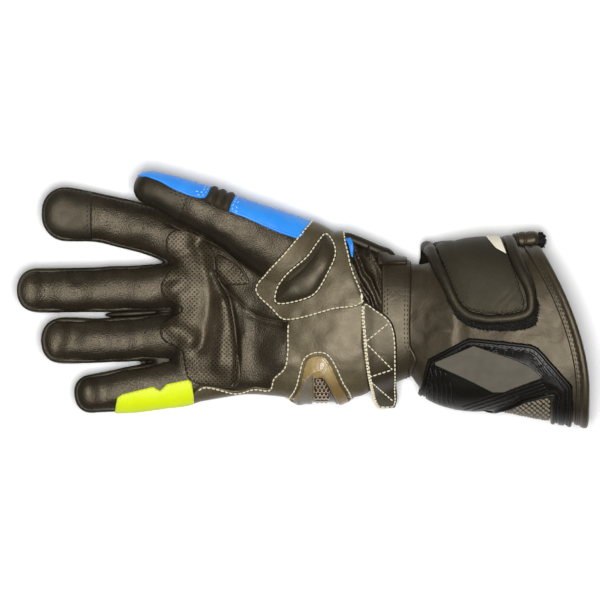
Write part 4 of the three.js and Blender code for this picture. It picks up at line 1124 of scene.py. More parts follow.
def mouth_field(points):
    """Plan distance from the cuff's slanted mouth, towards the wrist."""
    body = body_at(MOUTH_X)
    across = (points[:, 1] - body["centre"][0]) / body["half_width"][0]
    slant = np.maximum(0, (across - MOUTH_TURN) / (1 - MOUTH_TURN))
    steep = MOUTH_BEND * slant ** (MOUTH_BEND - 1) / (1 - MOUTH_TURN) * MOUTH_SLANT / body["half_width"][0]
    return (MOUTH_X - MOUTH_SLANT * slant**MOUTH_BEND - points[:, 0]) / np.sqrt(1 + steep**2)


def seam_relief(field):
    """A sewn seam: a groove at the join and a low welt outside it."""
    return -0.7 * bell(field, 0.6) + 0.45 * bell(field + 1.7, 0.9) + 0.2 * bell(field - 1.7, 0.9)


over_seam = skin.plain[:, 2] - seam_height(skin.plain[:, 0])
hand, hand_seam = skin.refined(over_seam, (-2.6, -1.7, -0.6, 0, 0.6, 1.7))
off_blue = np.clip(-(outline_field(hand.plain, BLUE_SIDE, smooth=False) + 1) / 2, 0, 1)
sewn = (hand.plain[:, 0] < CUFF_CUT_X) * off_blue
hand.points = hand.points + hand.normals * (seam_relief(hand_seam) * sewn)[:, None]


def wall_piece(name, field, material, slot, nodes):
    """A panel of the hollow glove's wall, cut from the skin where the field is above 0."""
    layer = hand.layer(field)
    layer.base[:] = -WALL
    piece(name, *layer.body(), material, slot, nodes, share=0.42)


before_cut = CUFF_CUT_X - hand.plain[:, 0]
from_mouth = mouth_field(hand.plain)
cuff_top = hand.plain[:, 2] - CUFF_SEAM_Z
on_cuff = np.minimum(-before_cut, from_mouth - 1)
wall_piece("hand_palm", np.minimum(hand_seam, before_cut), goatskin, "palm_leather",
           ["palm_panel", "thumb_front"])
wall_piece("hand_back", np.minimum(-hand_seam, before_cut), back_hide, "back_leather",
           ["back_panel", "gusset_index_middle", "gusset_middle_ring", "gusset_ring_little"])
wall_piece("cuff_palm_side", np.minimum(cuff_top, on_cuff), cowhide, "palm_leather", ["cuff_front"])
wall_piece("cuff_back_side", np.minimum(-cuff_top, on_cuff), back_hide, "back_leather", ["cuff_back"])


def sewn_on(name, surface, field, thickness, edge, base, material, slot, nodes=()):
    """A layer of leather on a surface where the field is above 0, with a rolled edge."""
    layer = surface.layer(field, (0.12 * edge, 0.4 * edge, edge)).rolled(thickness, edge, base)
    piece(name, *layer.body(), material, slot, nodes)
    return layer


def over_palm(outline, low=16.0, smooth=True):
    """The field of a plan outline on the palm side, cut off below a height."""
    field = outline_field(skin.plain, OUTLINES[outline], smooth)
    return np.minimum(field, (skin.plain[:, 2] - low) * 0.8)


thumb_field = over_palm("thumb_patch")
# The thumb and heel patches are in the paler hide: a painted sheen.
thumb_patch = sewn_on("thumb_patch_leather", skin, thumb_field, 1.3, 0.9, 0, sheen_painted_hide, "patch_leather",
                         ["thumb_patch"])
heel_field = np.minimum(over_palm("heel_patch", 8.8), 1.5 - thumb_field)
heel_patch = sewn_on("heel_patch_leather", skin, heel_field, 0.9, 0.8, 0, sheen_painted_hide, "patch_leather",
                        ["heel_patch"])
side_patch = sewn_on("little_finger_panel", skin, over_palm("side_patch", 4.4, False), 1.0, 0.8, 0,
                        yellow_hide, "yellow_leather", ["little_finger_patch"])
crotch_patch = sewn_on("thumb_crotch_patch", skin, over_palm("crotch_patch"), 0.9, 0.7, 0, punched,
                          "palm_leather", ["crotch_patch"])
sewn_on("wrist_blue_stripe", skin, over_palm("wrist_stripe", 8.8), 0.8, 0.6, 0, blue_hide,
                          "blue_leather", ["wrist_stripe"])

# The cushion in the thumb patch: it swells from a sewn groove to a soft ridge
pad = skin.layer(over_palm("thumb_pad"), (0.2, 0.6, 1.2, 2.0, 3.2)).rolled(0.7, 0.8, 1.25)
pad.top += 2.3 * (1 - np.exp(-np.maximum(pad.inset - 1.2, 0) / 2.6)) + 0.7 * np.clip(pad.inset / 8, 0, 1)
piece("thumb_pad_cushion", *pad.body(), cowhide, "patch_leather", ["thumb_pad"])

# Fingertips in smooth leather
INDEX_TIP_SEAM_X = -123.4
index_field = np.minimum(INDEX_TIP_SEAM_X - skin.plain[:, 0], over_seam - 0.2)
index_field = np.where(skin.plain[:, 1] > 30, index_field, -1)
index_tip = sewn_on("index_fingertip", skin, index_field, 0.8, 0.8, 0, back_hide, "patch_leather",
                       ["index_tip_patch"])

from_thumb_tip, across_thumb, over_thumb = place_on_digit(skin.plain, "thumb")
near_thumb = (np.abs(across_thumb) < 26) & (np.abs(over_thumb) < 26)
blue_side = outline_field(skin.plain, BLUE_SIDE, smooth=False, reach=12)
thumb_front_side = np.minimum(0.8 - blue_side, over_thumb)
THUMB_TIP_SEAM = 32.0
ACCORDION_FROM = 41.5
ACCORDION_TO = 56.5
thumb_tip_field = np.where(near_thumb, np.minimum(THUMB_TIP_SEAM - from_thumb_tip, thumb_front_side), -1)
thumb_tip = sewn_on("thumb_tip_leather", skin, thumb_tip_field, 0.5, 0.8, 0, back_hide, "patch_leather",
                       ["thumb_tip_patch"])
blue_tip_field = np.where(near_thumb, np.minimum(ACCORDION_FROM - from_thumb_tip, blue_side), -1)
blue_tip = sewn_on("thumb_blue_tip_strip", skin, blue_tip_field, 0.9, 0.8, 0, blue_hide, "blue_leather",
                      ["thumb_back_tip"])
BLUE_STRIP_END = 106
blue_base_field = np.minimum(from_thumb_tip - ACCORDION_TO, BLUE_STRIP_END - from_thumb_tip)
blue_base_field = np.minimum(blue_base_field, blue_side)
blue_base_field = np.where(near_thumb, np.minimum(blue_base_field, 2 - thumb_field), -1)
blue_base = sewn_on("thumb_blue_base_strip", skin, blue_base_field, 0.9, 0.8, 0, blue_hide, "blue_leather",
                       ["thumb_back_base"])


def side_of(name, turn):
    """The line of a digit's side: Y over X."""
    places = np.array([digit_ring(name, d, np.array([turn]))[0] for d in np.arange(0, 100, 2.0)])
    return places[np.argsort(places[:, 0])]


def gusset(one, other, x_from, x_to):
    """The dark strip that closes the gap between the roots of two fingers."""
    xs = np.arange(x_from, x_to, 1.0)
    upper, lower = side_of(one, math.pi), side_of(other, 0.0)
    top, low = np.interp(xs, upper[:, 0], upper[:, 1]), np.interp(xs, lower[:, 0], lower[:, 1])
    ring = np.arange(12) * 2 * math.pi / 12
    rings = []
    for n, x in enumerate(xs):
        grown = math.sqrt(min(1, (n + 0.2) / 14))
        half = (max(top[n] - low[n], 0) / 2 + 1.4) * grown
        y, z = (top[n] + low[n]) / 2 + half * np.cos(ring), 7.5 + 3.0 * grown * np.sin(ring)
        rings.append(np.column_stack([np.full(12, x), y, z]))
    return outward(*loft(rings))


gussets = [gusset("middle", "ring", -116, -66), gusset("ring", "little", -94, -66)]
piece("finger_gussets", *joined(*gussets), back_hide, "back_leather")


def above(height):
    """A test for the places over a height."""
    return lambda line: line[:, 2] > height


def before(x_limit):
    """A test for the places before an X."""
    return lambda line: line[:, 0] < x_limit


def past(x_limit):
    """A test for the places past an X."""
    return lambda line: line[:, 0] > x_limit


blue_edges = [*blue_tip.lines(0.3, keep=above(22)), *blue_base.lines(0.3, keep=above(22))]
piece("blue_strip_folds", *joined(*[cord_along(eased(line, 12), 0.85, -0.1, 14) for line in blue_edges]),
      blue_hide, "blue_leather")


def ribbed_band():
    """Three soft elastic ribs round the outer side of the thumb."""
    turns = np.radians(np.linspace(-62, 74, 60))
    stations = np.linspace(ACCORDION_FROM - 0.4, ACCORDION_TO + 0.4, 64)
    share = np.clip((stations - ACCORDION_FROM) / (ACCORDION_TO - ACCORDION_FROM), 0, 1)
    ribs = np.abs(np.sin(share * 3 * math.pi)) ** 0.7
    outer = np.array([digit_ring("thumb", d, turns, 0.2 + 1.9 * rib) for d, rib in zip(stations, ribs)])
    inner = np.array([digit_ring("thumb", d, turns, -1.2) for d in stations])
    fade = np.clip(np.minimum(np.arange(60), np.arange(60)[::-1]) / 5, 0, 1)[None, :, None] ** 0.5
    outer = inner + (outer - inner) * (0.4 + 0.6 * fade)
    faces = grid_faces(64, 60)
    return outward(*closed_shell(outer.reshape(-1, 3), inner.reshape(-1, 3), faces))


piece("thumb_elastic_ribs", *ribbed_band(), stretch, "stretch_fabric", ["thumb_accordion"])

# The grip, in punched leather
skin_tree = tree_of(skin.points, skin.faces)
GRIP_STEP = 0.7
grip_x, grip_y = np.meshgrid(np.arange(-84.5, -36, GRIP_STEP), np.arange(-50, 44, GRIP_STEP), indexing="ij")
grip_plan = np.stack([grip_x.ravel(), grip_y.ravel()], 1)
grip_rows = dropped(grip_plan, skin_tree, keep_all=True)
grip_plain = np.column_stack([grip_plan, grip_rows[:, 2]])
grip_surface = Surface(grip_rows[:, :3], grid_faces(*grip_x.shape), grip_plain)
grip_field = np.minimum(outline_field(grip_plan, OUTLINES["grip_patch"]), (grip_rows[:, 2] - 18) * 0.8)
grip_patch = grip_surface.layer(grip_field, (0.1, 0.5)).rolled(0.9, 0.7)
piece("grip_panel", *grip_patch.body(), punched, "palm_leather", ["grip_patch"])

# Wrist strap, keeper and flap lie on fine grids over the tube
wrist = tube_carrier(36, 74, -90, 270, 0.9)
STRAP_LEFT = 46
# The strap's right edge: Y, X
STRAP_RIGHT = np.array([
    (-60, 63.5), (-45, 63.6), (-39, 65), (-33.5, 67), (-24.5, 63.4), (7, 63.5), (60, 63.5),
])
strap_right = curve_through(STRAP_RIGHT[:, 0], STRAP_RIGHT[:, 1], wrist.plain[:, 1])
strap_field = np.minimum(wrist.plain[:, 0] - STRAP_LEFT, strap_right - wrist.plain[:, 0])
strap = sewn_on("wrist_strap_leather", wrist, strap_field, 1.3, 1.0, 0.3, cowhide, "patch_leather",
                   ["wrist_strap"])
KEEPER_LEFT = 43.2
KEEPER_RIGHT = 61
KEEPER_FOOT = 20.8
KEEPER_TOP = 27.5
keeper_across = np.minimum(wrist.plain[:, 0] - KEEPER_LEFT, KEEPER_RIGHT - wrist.plain[:, 0])
keeper_up = np.minimum(wrist.plain[:, 1] - KEEPER_FOOT, KEEPER_TOP - wrist.points[:, 1])
keeper_field = np.minimum(keeper_across, keeper_up)
sewn_on("strap_keeper_loop", wrist, keeper_field, 1.5, 0.9, 1.9, cowhide, "patch_leather", ["strap_keeper"])

# A fold of loose leather stands off the thumb's side above the gathers
LIP = [(19, 40, 22), (25, 38.6, 29), (34.7, 34.8, 29.5), (44.4, 30.6, 29), (50.8, 28.2, 27.5), (54, 25, 25)]
lip_line = smooth_path(LIP, step=0.8)
lip_line = np.hstack([lip_line, np.tile([0.25, 0.35, 0.9], (len(lip_line), 1))])
inner_lip = lip_line.copy()
inner_lip[:, :3] += [-1.9, -3.8, -1.4]
lips = joined(cord_along(lip_line, 2.9, 0, 16, 0.7), cord_along(inner_lip, 2.0, 0, 12, 0.7))
piece("wrist_fold_lip", *lips, back_hide, "palm_leather")


# The standing tip of the flap: Y, height
FLAP_TAIL = np.array([
    (-62, 12), (-59, 17.2), (-55.5, 21.6), (-51, 25.2), (-46, 28), (-41.5, 29.8), (-36, 31),
])


def flap_surface():
    """The flap's own surface: round the wrist's little finger side, then standing off to its tip."""
    turns = np.radians(np.linspace(60, 178, 300))
    places = np.arange(3, -62.5, -1.0)
    tail = curve_through(FLAP_TAIL[:, 0], FLAP_TAIL[:, 1], places)
    rows = []
    for x in np.arange(33, 58, 0.6):
        ring = body_ring(x, turns, 1.8)[::-1]
        on_tube = np.interp(places, ring[:, 1], ring[:, 2], left=0)
        section = np.column_stack([np.full(len(places), x), places, np.maximum(on_tube, tail)])
        rows.append(spread(eased(section, 12), 130))
    return upward(Surface(np.vstack(rows), grid_faces(len(rows), 130)))


flap_carrier = flap_surface()
flap_field = np.minimum(outline_field(flap_carrier.plain, FLAP), flap_carrier.plain[:, 1] + 61.6)
flap = sewn_on("wrist_flap_leather", flap_carrier, flap_field, 1.4, 1.0, 0.1, cowhide, "patch_leather",
                  ["wrist_flap"])

# The cuff's hem: a rolled edge, then a band sewn down twice
mouth = tube_carrier(112, MOUTH_X, -90, 270, 1.0)
to_mouth = mouth_field(mouth.points)
hem = mouth.layer(np.minimum(to_mouth - 0.05, HEM_WIDTH - to_mouth), (0.3, 0.8, 1.6, 2.6, 3.4))
hem_at = mouth_field(hem.points)
hem.rolled(0.8, 0.7, 0.3)
hem.top += 1.3 * np.sqrt(np.clip(1 - ((hem_at - 2.3) / 2.3) ** 2, 0, 1))
hem.base[:] = -2.6
piece("cuff_hem_binding", *hem.body(), cowhide, "palm_leather", ["cuff_hem"])
lining = mouth.layer(np.minimum(to_mouth - 1.2, mouth.points[:, 0] - 114))
lining.top[:], lining.base[:] = -2.7, -3.8
piece("cuff_lining", *lining.body(), lining_cloth, "back_leather", share=0.2)

# Closing tab, its rolled binding, the hook field and the label
tab_carrier = tube_carrier(64, 146, -95, 110, 0.8)
side_y = body_at(tab_carrier.points[:, 0])
side_y = side_y["centre"] + side_y["half_width"]
fold_y = curve_through([64, 85, 100, 112, 124, 140], [[36], [36.3], [36.6], [38.2], [36.5], [35]],
                       tab_carrier.points[:, 0])[:, 0]
unrolled = tab_carrier.plain[:, 1]
beside = np.clip((unrolled - 8) / 22, 0, 1) ** 2 * np.clip(1 - (unrolled - 44) / 22, 0, 1)
shift = np.maximum(fold_y - side_y - 4.2, 0) * beside
tab_carrier.points[:, 1] += shift
tab_carrier.plain[:, 1] += shift
tab_carrier.normals = normals_of(tab_carrier.points, tab_carrier.faces)
tab_carrier = seen_from_above(tab_carrier, 2.5)
tab_plan = tab_carrier.plain
TAB_BASE = 1.9
tab_panel = tab_carrier.layer(outline_field(tab_plan, TAB_PANEL, reach=10), (0.1, 0.3, 0.6))
tab_panel.rolled(1.3, 0.6, TAB_BASE)
for path in ([(112, -2), (120, 6), (124, 12)], [(116, -3), (123, 4), (127, 9)]):
    tab_panel.top -= 0.2 * bell(line_distance(tab_panel.plain, smooth_path(path)), 0.9)
tab_panel.top += 0.25 * soft_noise(tab_panel.points, 14, 8) + 0.6 * np.clip(tab_panel.inset / 6, 0, 1)
tab_cushion = piece("closing_tab_panel", *tab_panel.body(), tab_hide, "palm_leather", ["tab_panel"],
                    share=0.5)
ROLL = 2.85
tab_rows = tab_carrier.layer(outline_field(tab_plan, TAB, reach=10)).rolled(0, 1, TAB_BASE)
tab_rows.base[:] = 0.2
piece("closing_tab_backing", *tab_rows.body(), back_hide, "palm_leather", share=0.2)
tab_rolls = []
for line in tab_rows.lines(ROLL):
    fuller = ROLL + 0.8 * np.clip((line[:, 1] + 2) / 16, 0, 1)
    tab_rolls.append(cord_along(eased(line, 8), fuller, 0.6, 20, 0.8))
piece("closing_tab_binding", *joined(*tab_rolls), back_hide, "palm_leather", ["tab_binding"])
sewn_on("pale_tape_tag", tab_carrier, outline_field(tab_plan, LABEL, smooth=False), 0.5, 0.3, TAB_BASE + 2.0,
        label_cloth, "pale_patch", ["tab_label"])


def tufts(places, up, height, radius, seed):
    """Short pointed fibres standing on places along their normals, each leaning its own way."""
    rng = np.random.default_rng(seed)
    count = len(places)
    turns = rng.uniform(0, 2 * math.pi, count)[:, None] + np.arange(3) * 2 * math.pi / 3
    feet = np.stack([np.cos(turns), np.sin(turns), np.zeros_like(turns)], 2) * radius
    tips = places + up * height * rng.uniform(0.5, 1.2, (count, 1)) + rng.normal(0, height * 0.45, (count, 3))
    points = np.concatenate([places[:, None] + feet, tips[:, None]], 1).reshape(-1, 3)
    one = np.array([(0, 2, 1), (0, 1, 3), (1, 2, 3), (2, 0, 3)])
    return points, (one + np.arange(count)[:, None, None] * 4).reshape(-1, 3)


hook = tab_carrier.layer(outline_field(tab_plan, OUTLINES["hook_field"]), (0.4,)).rolled(1.2, 0.5, 0.2)
outer_hook = hook.inset < 7
hook_top = hook.top_points()[outer_hook]
thick = np.repeat(np.arange(len(hook_top)), 2)
pile = tufts(hook_top[thick] + np.random.default_rng(2).normal(0, 0.35, (len(thick), 3)) * [1, 1, 0],
             hook.normals[outer_hook][thick], 1.2, 0.3, 4)
piece("hook_pile_field", *joined(hook.body(), pile), hook_pile, "hook_fuzz", ["hook_field"])

CORNER_PLACE = np.array([130.4, 36.2, 24.8])
CORNER_LENGTH = 17.5


def corner_roll():
    """The rolled corner of the back flap: a short soft roll with a few creases."""
    turns = np.arange(48) * 2 * math.pi / 48
    rings = []
    for t in np.linspace(0, 1, 60):
        end = min(t, 1 - t) * CORNER_LENGTH / 3.6
        size = math.sqrt(max(1 - max(0, 1 - end) ** 2, 0.004))
        creases = 0.1 * bell(t - 0.2 - 0.03 * np.sin(turns), 0.03)
        creases = creases + 0.07 * bell(t - 0.31 + 0.05 * np.sin(turns), 0.025)
        creases = creases + 0.08 * bell(t - 0.5 - 0.04 * np.cos(turns), 0.04)
        radius = 4.9 * size * (1 + 0.05 * np.sin(2 * turns + t * 5) - creases)
        y, z = radius * np.cos(turns), radius * np.sin(turns)
        x = (t - 0.5) * CORNER_LENGTH
        rings.append(np.stack([x - 0.12 * y, y + 0.12 * x, z], 1) + CORNER_PLACE)
    return loft(rings)


piece("rolled_corner_leather", *outward(*corner_roll()), cowhide, "back_leather", ["cuff_corner_roll"])


def fibre_lump(centre, sizes, seed):
    """A lump of loose pile with fibres all round."""
    turns = np.arange(24) * 2 * math.pi / 24
    levels = np.linspace(-0.98, 0.98, 14)
    rings = []
    for level in levels:
        flat = math.sqrt(1 - level**2)
        ring = np.stack([np.cos(turns) * flat, np.sin(turns) * flat, np.full(24, level)], 1)
        rings.append(centre + ring * sizes)
    up = np.random.default_rng(seed).normal(size=(420, 3))
    up /= np.linalg.norm(up, axis=1)[:, None]
    fibres = tufts(centre + up * np.array(sizes), up, 0.8, 0.35, seed)
    return joined(outward(*loft(rings)), fibres)


piece("loose_pile_end", *fibre_lump((139.4, 36.2, 24), (2.9, 4.4, 3.8), 6), hook_pile, "hook_fuzz")

# Armour on the cuff: a flange, a flat lozenge standing up inside it, and ribbed facets between them
plate = seen_from_above(tube_carrier(66, 160, 78, 236, 0.5), 1.2)
LOZENGE_RISE = 3.4  # how far the lozenge stands above the flange, for the eye above
FACET_LIP = 0.7  # how far the matt facet reaches over the lozenge's edge
FLANGE = 4.4
FLANGE_TOP = 1.9
LEFT_RIBS = [(71.5, -37.5), (75, -37.5), (84, -41), (89.5, -55), (92, -68), (69, -68), (69, -50)]
RIGHT_RIBS = [
    (92, -60.5), (113, -52), (138.3, -43.6), (144, -51.5), (143, -56), (130, -60), (121, -64),
    (104, -68), (92, -68),
]


def lozenge_field(surface):
    return outline_field(risen(surface, LOZENGE_RISE), RHOMBUS, smooth=False, reach=60)


plate, lozenge = plate.refined(lozenge_field(plate), (-0.4, 0))
on_lozenge = lozenge > 0.5
raised = (plate.points + plate.normals * 4.6)[on_lozenge]
slant = np.linalg.lstsq(np.column_stack([raised[:, :2], np.ones(len(raised))]), raised[:, 2], rcond=None)[0]


def up_to_plane(surface):
    """How far along its normals each point lies below the lozenge's plane."""
    below = surface.points[:, :2] @ slant[:2] + slant[2] - surface.points[:, 2]
    facing = surface.normals[:, 2] - surface.normals[:, :2] @ slant[:2]
    gap = np.maximum(below / np.maximum(facing, 0.5), 3.2)
    over = np.maximum(gap - 5, 0)
    return np.minimum(gap, 5) + 1.6 * (1 - np.exp(-over / 1.6))


shell_field = outline_field(plate.plain, ARMOUR, smooth=False, reach=30)
shell = plate.layer(shell_field, (0.15, 0.5, 1.0, FLANGE, FLANGE + 0.5))
outside = np.maximum(-lozenge_field(shell), 0)
inward = np.maximum(shell.inset - FLANGE, 0)
climb = inward / np.maximum(inward + outside, 1e-6)
shell.rolled(FLANGE_TOP - 0.3, 1.0, 0.3)
step_in = np.clip(inward / 0.5, 0, 1)
shell.top += step_in * 0.7 + (up_to_plane(shell) - FLANGE_TOP - 0.7) * climb * step_in
flange_rolls = [cord_along(eased(line, 4), 1.15, 0.1, 14) for line in shell.lines(1.35)]
piece("armour_shell_moulding", *shell.body(), armour_gloss, "armour_plastic", ["armour_shell"],
      sharp=38, share=0.5)
piece("armour_flange_roll", *joined(*flange_rolls), armour_gloss, "armour_plastic")
facet = plate.layer(lozenge_field(plate) + FACET_LIP, (0.5,))
lift_to_plane = up_to_plane(facet)
facet.top = lift_to_plane - 0.1 + 0.7 * np.clip(facet.inset / 0.5, 0, 1)
facet.base = lift_to_plane - 0.8
piece("armour_matt_facet", *facet.body(), armour_matt, "facet_plastic", ["armour_facet"], sharp=30)

# Moulded ribs: a few wavy ones down the left facet, and straight ones beside the lozenge's low edge
shell_tree = shell.top_tree()
RIB_START = np.array([112.4, -51.6])
RIB_HEADING = np.array([0.949, 0.315])
RIB_ACROSS = np.array([0.315, -0.949])


def rib_lines(paths, outline):
    """Rib paths dropped on the shell and kept inside an outline."""
    outline = np.array(outline, float)
    found = []
    for path in paths:
        row = dropped(path, shell_tree)
        found += parts_of([row], lambda line: inside_outline(line, outline), 4.0) if len(row) > 4 else []
    return found


drops = np.arange(-36, -68, -0.7)
sway = 0.35 * np.sin(drops * 0.7) - 0.12 * (drops + 36)
wavy = [np.column_stack([x + sway, drops]) for x in np.arange(71.5, 88, 2.7)]
runs = np.arange(-42, 36, 0.7)[:, None] * RIB_HEADING
straight = [RIB_START + gap * RIB_ACROSS + runs for gap in np.arange(1.3, 18, 2.0)]
ribs = [*rib_lines(wavy, LEFT_RIBS), *rib_lines(straight, RIGHT_RIBS)]
piece("armour_ribs", *joined(*[cord_along(line, 0.6, -0.15, 10, 0.8) for line in ribs]), armour_gloss,
      "armour_plastic")


def zigzag(value):
    """A wave of straight slopes between 0 and 1."""
    return np.abs((value % 1) * 2 - 1)


mesh_field = outline_field(plate.plain, MESH_PANEL, smooth=False)
mesh_panel = plate.layer(mesh_field, (0.3,)).rolled(0.7, 0.4, 0.3)
piece("diamond_textile_ground", *mesh_panel.body(), back_hide, "patch_leather", ["armour_mesh"])
x, y = plate.plain[:, 0] / 3.3, plate.plain[:, 1] / 2.7
diamonds = np.minimum(zigzag(x + y), zigzag(x - y)) - 0.28
diamonds = plate.layer(np.minimum(diamonds, mesh_field * 0.3), (0.1,), largest=False)
diamonds.top, diamonds.base = 1.0 + 1.1 * diamonds.inset, np.full(len(diamonds.inset), 0.6)
piece("diamond_textile_tops", *diamonds.body(), mesh_cloth, "patch_leather")

# Palm slider
heel = seen_from_above(tube_carrier(-14, 34, 95, 225, 0.5), 2.4)
heel, _ = heel.refined(outline_field(heel.plain, SLIDER_CREST, smooth=False, reach=20), (-0.3, 0.3))
heel, _ = heel.refined(outline_field(heel.plain, SLIDER_WINDOW, smooth=False, reach=20), (-0.3, 0.1))
slider = heel.layer(outline_field(heel.plain, SLIDER, reach=20), (0.2, 0.7, 1.5)).rolled(1.2, 1.5, 1.5)
crest = outline_field(slider.plain, SLIDER_CREST, smooth=False, reach=20)
window = outline_field(slider.plain, SLIDER_WINDOW, smooth=False, reach=20)
slider.top += 2.0 * slider.inset / np.maximum(slider.inset + np.maximum(-crest, 0), 1e-6)
slider.top -= 0.9 * np.clip(crest / 2.5, 0, 1) + 1.3 * np.clip(window / 0.4 + 0.75, 0, 1)
piece("palm_slider_moulding", *slider.body(), amber, "slider_resin", ["palm_slider"], sharp=50)
inlay_field = outline_field(slider.plain, SLIDER_WINDOW, smooth=False) - 0.2
inlay = slider.top_surface().layer(inlay_field).rolled(0.2, 0.2)
piece("slider_window_inlay", *inlay.body(), smoked_resin, "slider_resin")
under_crest = (slider.plain[:, 0] - slider.plain[:, 1] - 47) * 0.7 - 0.2
grey_field = np.minimum(np.minimum(slider.inset - 0.9, 6.3 - slider.plain[:, 0]), under_crest)
grey_face = slider.top_surface().layer(grey_field).rolled(0.15, 0.2)
piece("slider_grey_face", *grey_face.body(), grey_resin, "slider_resin")
inlay_tree = inlay.top_tree()


def hexagon_frame(centre, outer, inner, low, high):
    """One cell wall of the honeycomb."""
    turns = np.arange(6) * math.pi / 3
    ring = np.stack([np.cos(turns), np.sin(turns)], 1)
    rows = [(outer, low), (outer, high), (inner, high), (inner, low)]
    points = np.vstack([np.column_stack([centre[:2] + ring * r, np.full(6, centre[2] + z)]) for r, z in rows])
    i, j = np.arange(6), (np.arange(6) + 1) % 6
    faces = []
    for a, b in ((0, 1), (1, 2), (2, 3), (3, 0)):
        faces.append(np.stack([a * 6 + i, a * 6 + j, b * 6 + j], 1))
        faces.append(np.stack([a * 6 + i, b * 6 + j, b * 6 + i], 1))
    return points, np.vstack(faces)


cells = []
CELL = 1.35
for row in range(9):
    for column in range(12):
        centre = np.array([5.5 + CELL * math.sqrt(3) * (column + 0.5 * (row % 2)), -43.9 - 1.5 * CELL * row])
        if outline_field(centre[None, :], HONEYCOMB, smooth=False)[0] < 0.9:
            continue
        hit = dropped([centre], inlay_tree)
        if len(hit):
            cells.append(hexagon_frame(hit[0, :3], CELL * 0.98, CELL * 0.6, -0.5, 0.4))
piece("slider_honeycomb_core", *joined(*cells), honeycomb_gold, "slider_resin", sharp=40)

# Stitches
CREAM = {"length": 2.4, "gap": 0.28, "radius": 0.43, "lift": 0.2}
FINE = {"length": 1.9, "gap": 0.8, "radius": 0.28, "lift": 0.03}


def heel_rim(line):
    return (line[:, 1] < -13) & (line[:, 0] < 33) & (line[:, 0] > -61)


cream_rows = [
    *thumb_patch.lines(0.9, keep=above(20)),
    *heel_patch.lines(1.0, keep=heel_rim),
    *pad.lines(0.7),
    *flap.lines(1.3),
]
piece("cream_stitches", *stitch_run(cream_rows, **CREAM), cream_thread, "cream_thread")
flap_tree = flap.top_tree()
zigzags = [dropped(even_points(path, 0.7), flap_tree) for path in (ZIGZAG, ZIGZAG_TAIL)]
piece("flap_zigzag_stitches", *stitch_run(zigzags, **CREAM), cream_thread, "cream_thread")


def flap_root(line):
    return line[:, 0] < np.interp(-line[:, 1], [0, 20, 45, 62], [38, 38.5, 42, 50])


whipping = stitch_run(flap.lines(0.5, keep=flap_root), length=1.8, gap=0.1, radius=0.7, lift=0.3)
piece("flap_edge_whipping", *whipping, cream_thread, "cream_thread")
bar = dropped(even_points([(34.2, 5), (35.0, 1), (35.4, -2)], 0.5), skin_tree)
bar[:, 2] += 1.2
piece("bar_tack", *stitch_run([bar], length=3.2, gap=0.2, radius=0.9, lift=0.3), cream_thread, "cream_thread")


arch = heel.layer(outline_field(heel.plain, SLIDER, reach=20) + 1.3).rolled(0.2, 0.5, 1.1)
piece("slider_stitches", *stitch_run(arch.lines(0.5, keep=above(10)), **CREAM), cream_thread, "cream_thread")


finger_rows = contour(np.hstack([hand.points, hand.normals]), hand.faces, hand_seam - 1.7, 20)
black_rows = [
    *parts_of(finger_rows, before(-60)),
    *strap.lines(1.9), *strap.lines(3.6),
    *index_tip.lines(0.9), *index_tip.lines(2.7, keep=past(-128)),
    *thumb_tip.lines(1.0, keep=past(-78)), *thumb_tip.lines(2.6, keep=past(-78)),
    *crotch_patch.lines(1.1), *crotch_patch.lines(2.6),
    *tab_panel.lines(1.4),
    *shell.lines(3.1),
]
piece("black_stitches", *stitch_run(black_rows, **FINE), black_thread, "black_thread")
piece("grip_stitches", *stitch_run(grip_patch.lines(1.2), **FINE), black_thread, "black_thread")


def off_the_rolled_edge(line):
    return mouth_field(line) > 4


hem_rows = [*hem.lines(1.5, keep=off_the_rolled_edge), *hem.lines(2.7, keep=off_the_rolled_edge)]
piece("hem_stitches", *stitch_run(hem_rows, **FINE), black_thread, "black_thread")
blue_rows = [*blue_tip.lines(1.0, keep=past(-62)), *blue_tip.lines(2.8, keep=past(-63))]
blue_rows += [*blue_base.lines(1.0, keep=before(-37)), *blue_base.lines(2.8, keep=before(-37))]
piece("blue_strip_stitches", *stitch_run(blue_rows, **FINE), pale_thread, "cream_thread")
piece("yellow_panel_stitches", *stitch_run(side_patch.lines(1.0), **FINE), straw_thread, "cream_thread")

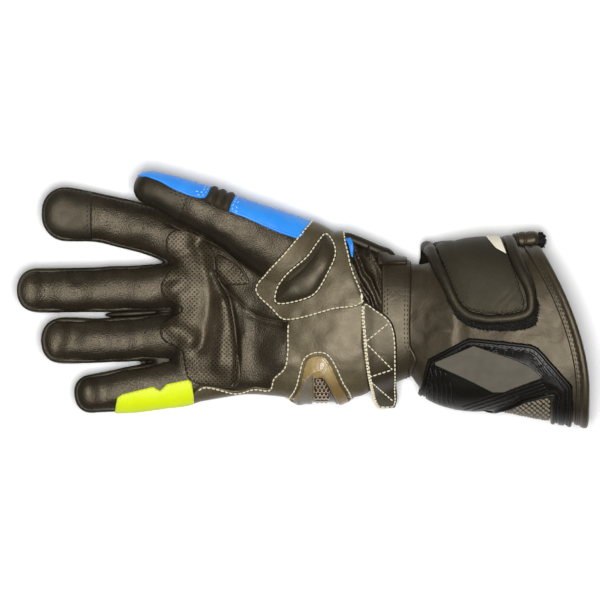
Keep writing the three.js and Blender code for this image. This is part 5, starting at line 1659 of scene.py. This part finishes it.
# Awl holes along the fingers: each is a small black disc, painted shade where the hole is
PINHOLES = [
    (-114.5, 47), (-93.5, 43), (-151, 7), (-133.5, 9), (-115.5, 9.5), (-95.5, 9), (-114.5, -20),
    (-92, -18),
]
pinhole_shade_discs = []
for row in dropped(PINHOLES, skin_tree):
    turns = np.arange(10) * 2 * math.pi / 10
    ring = np.stack([np.cos(turns), np.sin(turns), np.zeros(10)], 1)
    pinhole_shade_discs.append(outward(*loft([row[:3] + ring * 0.5 + row[3:] * height for height in (-0.4, 0.06)])))
piece("finger_pinhole_shade_discs", *joined(*pinhole_shade_discs), black_thread, "black_thread")

# Piping where the thumb's leather meets the palm
pipings = []
for path in (ROOT_PIPING, PALM_PIPING):
    line = dropped(smooth_path(path, step=0.8), skin_tree)
    pipings.append(cord_along(eased(line), 0.75, 0.3))
piece("palm_pipings", *joined(*pipings), cowhide, "back_leather")

# Floor, light and camera
floor_mesh = bpy.data.meshes.new("studio_floor")
floor_mesh.from_pydata([(-20, -20, 0), (20, -20, 0), (20, 20, 0), (-20, 20, 0)], [], [(0, 1, 2, 3)])
floor = bpy.data.objects.new("studio_floor", floor_mesh)
bpy.context.scene.collection.objects.link(floor)
paper = Finish("matt_white_paper").set(Base_Color=colour("#f9f9f9"), Roughness=0.9)
floor_mesh.materials.append(paper.material)

world = bpy.data.worlds.new("studio")
world.use_nodes = True
world.node_tree.nodes["Background"].inputs["Color"].default_value = colour("#ffffff")
world.node_tree.nodes["Background"].inputs["Strength"].default_value = 0.12
bpy.context.scene.world = world


def softbox(name, place, size, power):
    """A square soft light that looks at the glove."""
    light = bpy.data.lights.new(name, "AREA")
    light.shape, light.size, light.energy = "SQUARE", size, power
    holder = bpy.data.objects.new(name, light)
    holder.location = place
    holder.rotation_euler = (-Vector(place)).to_track_quat("-Z", "Y").to_euler()
    holder.visible_camera = False
    bpy.context.scene.collection.objects.link(holder)


softbox("overhead_softbox", (0.0, -0.16, 2.0), 0.7, 48)
softbox("thumb_side_light", (-0.3, 1.4, 1.0), 0.5, 2)

CAMERA_HEIGHT = 4.0
PHOTO_WIDTH = 0.351
SUBJECT_HEIGHT = 0.03
camera_data = bpy.data.cameras.new("camera")
camera_data.sensor_width = 36
camera_data.lens = camera_data.sensor_width * (CAMERA_HEIGHT - SUBJECT_HEIGHT) / PHOTO_WIDTH
camera_data.clip_end = 100
camera = bpy.data.objects.new("camera", camera_data)
camera.location = (-0.00142, 0.00071, CAMERA_HEIGHT)
bpy.context.scene.collection.objects.link(camera)
bpy.context.scene.camera = camera
bpy.context.scene.view_settings.view_transform = "Standard"
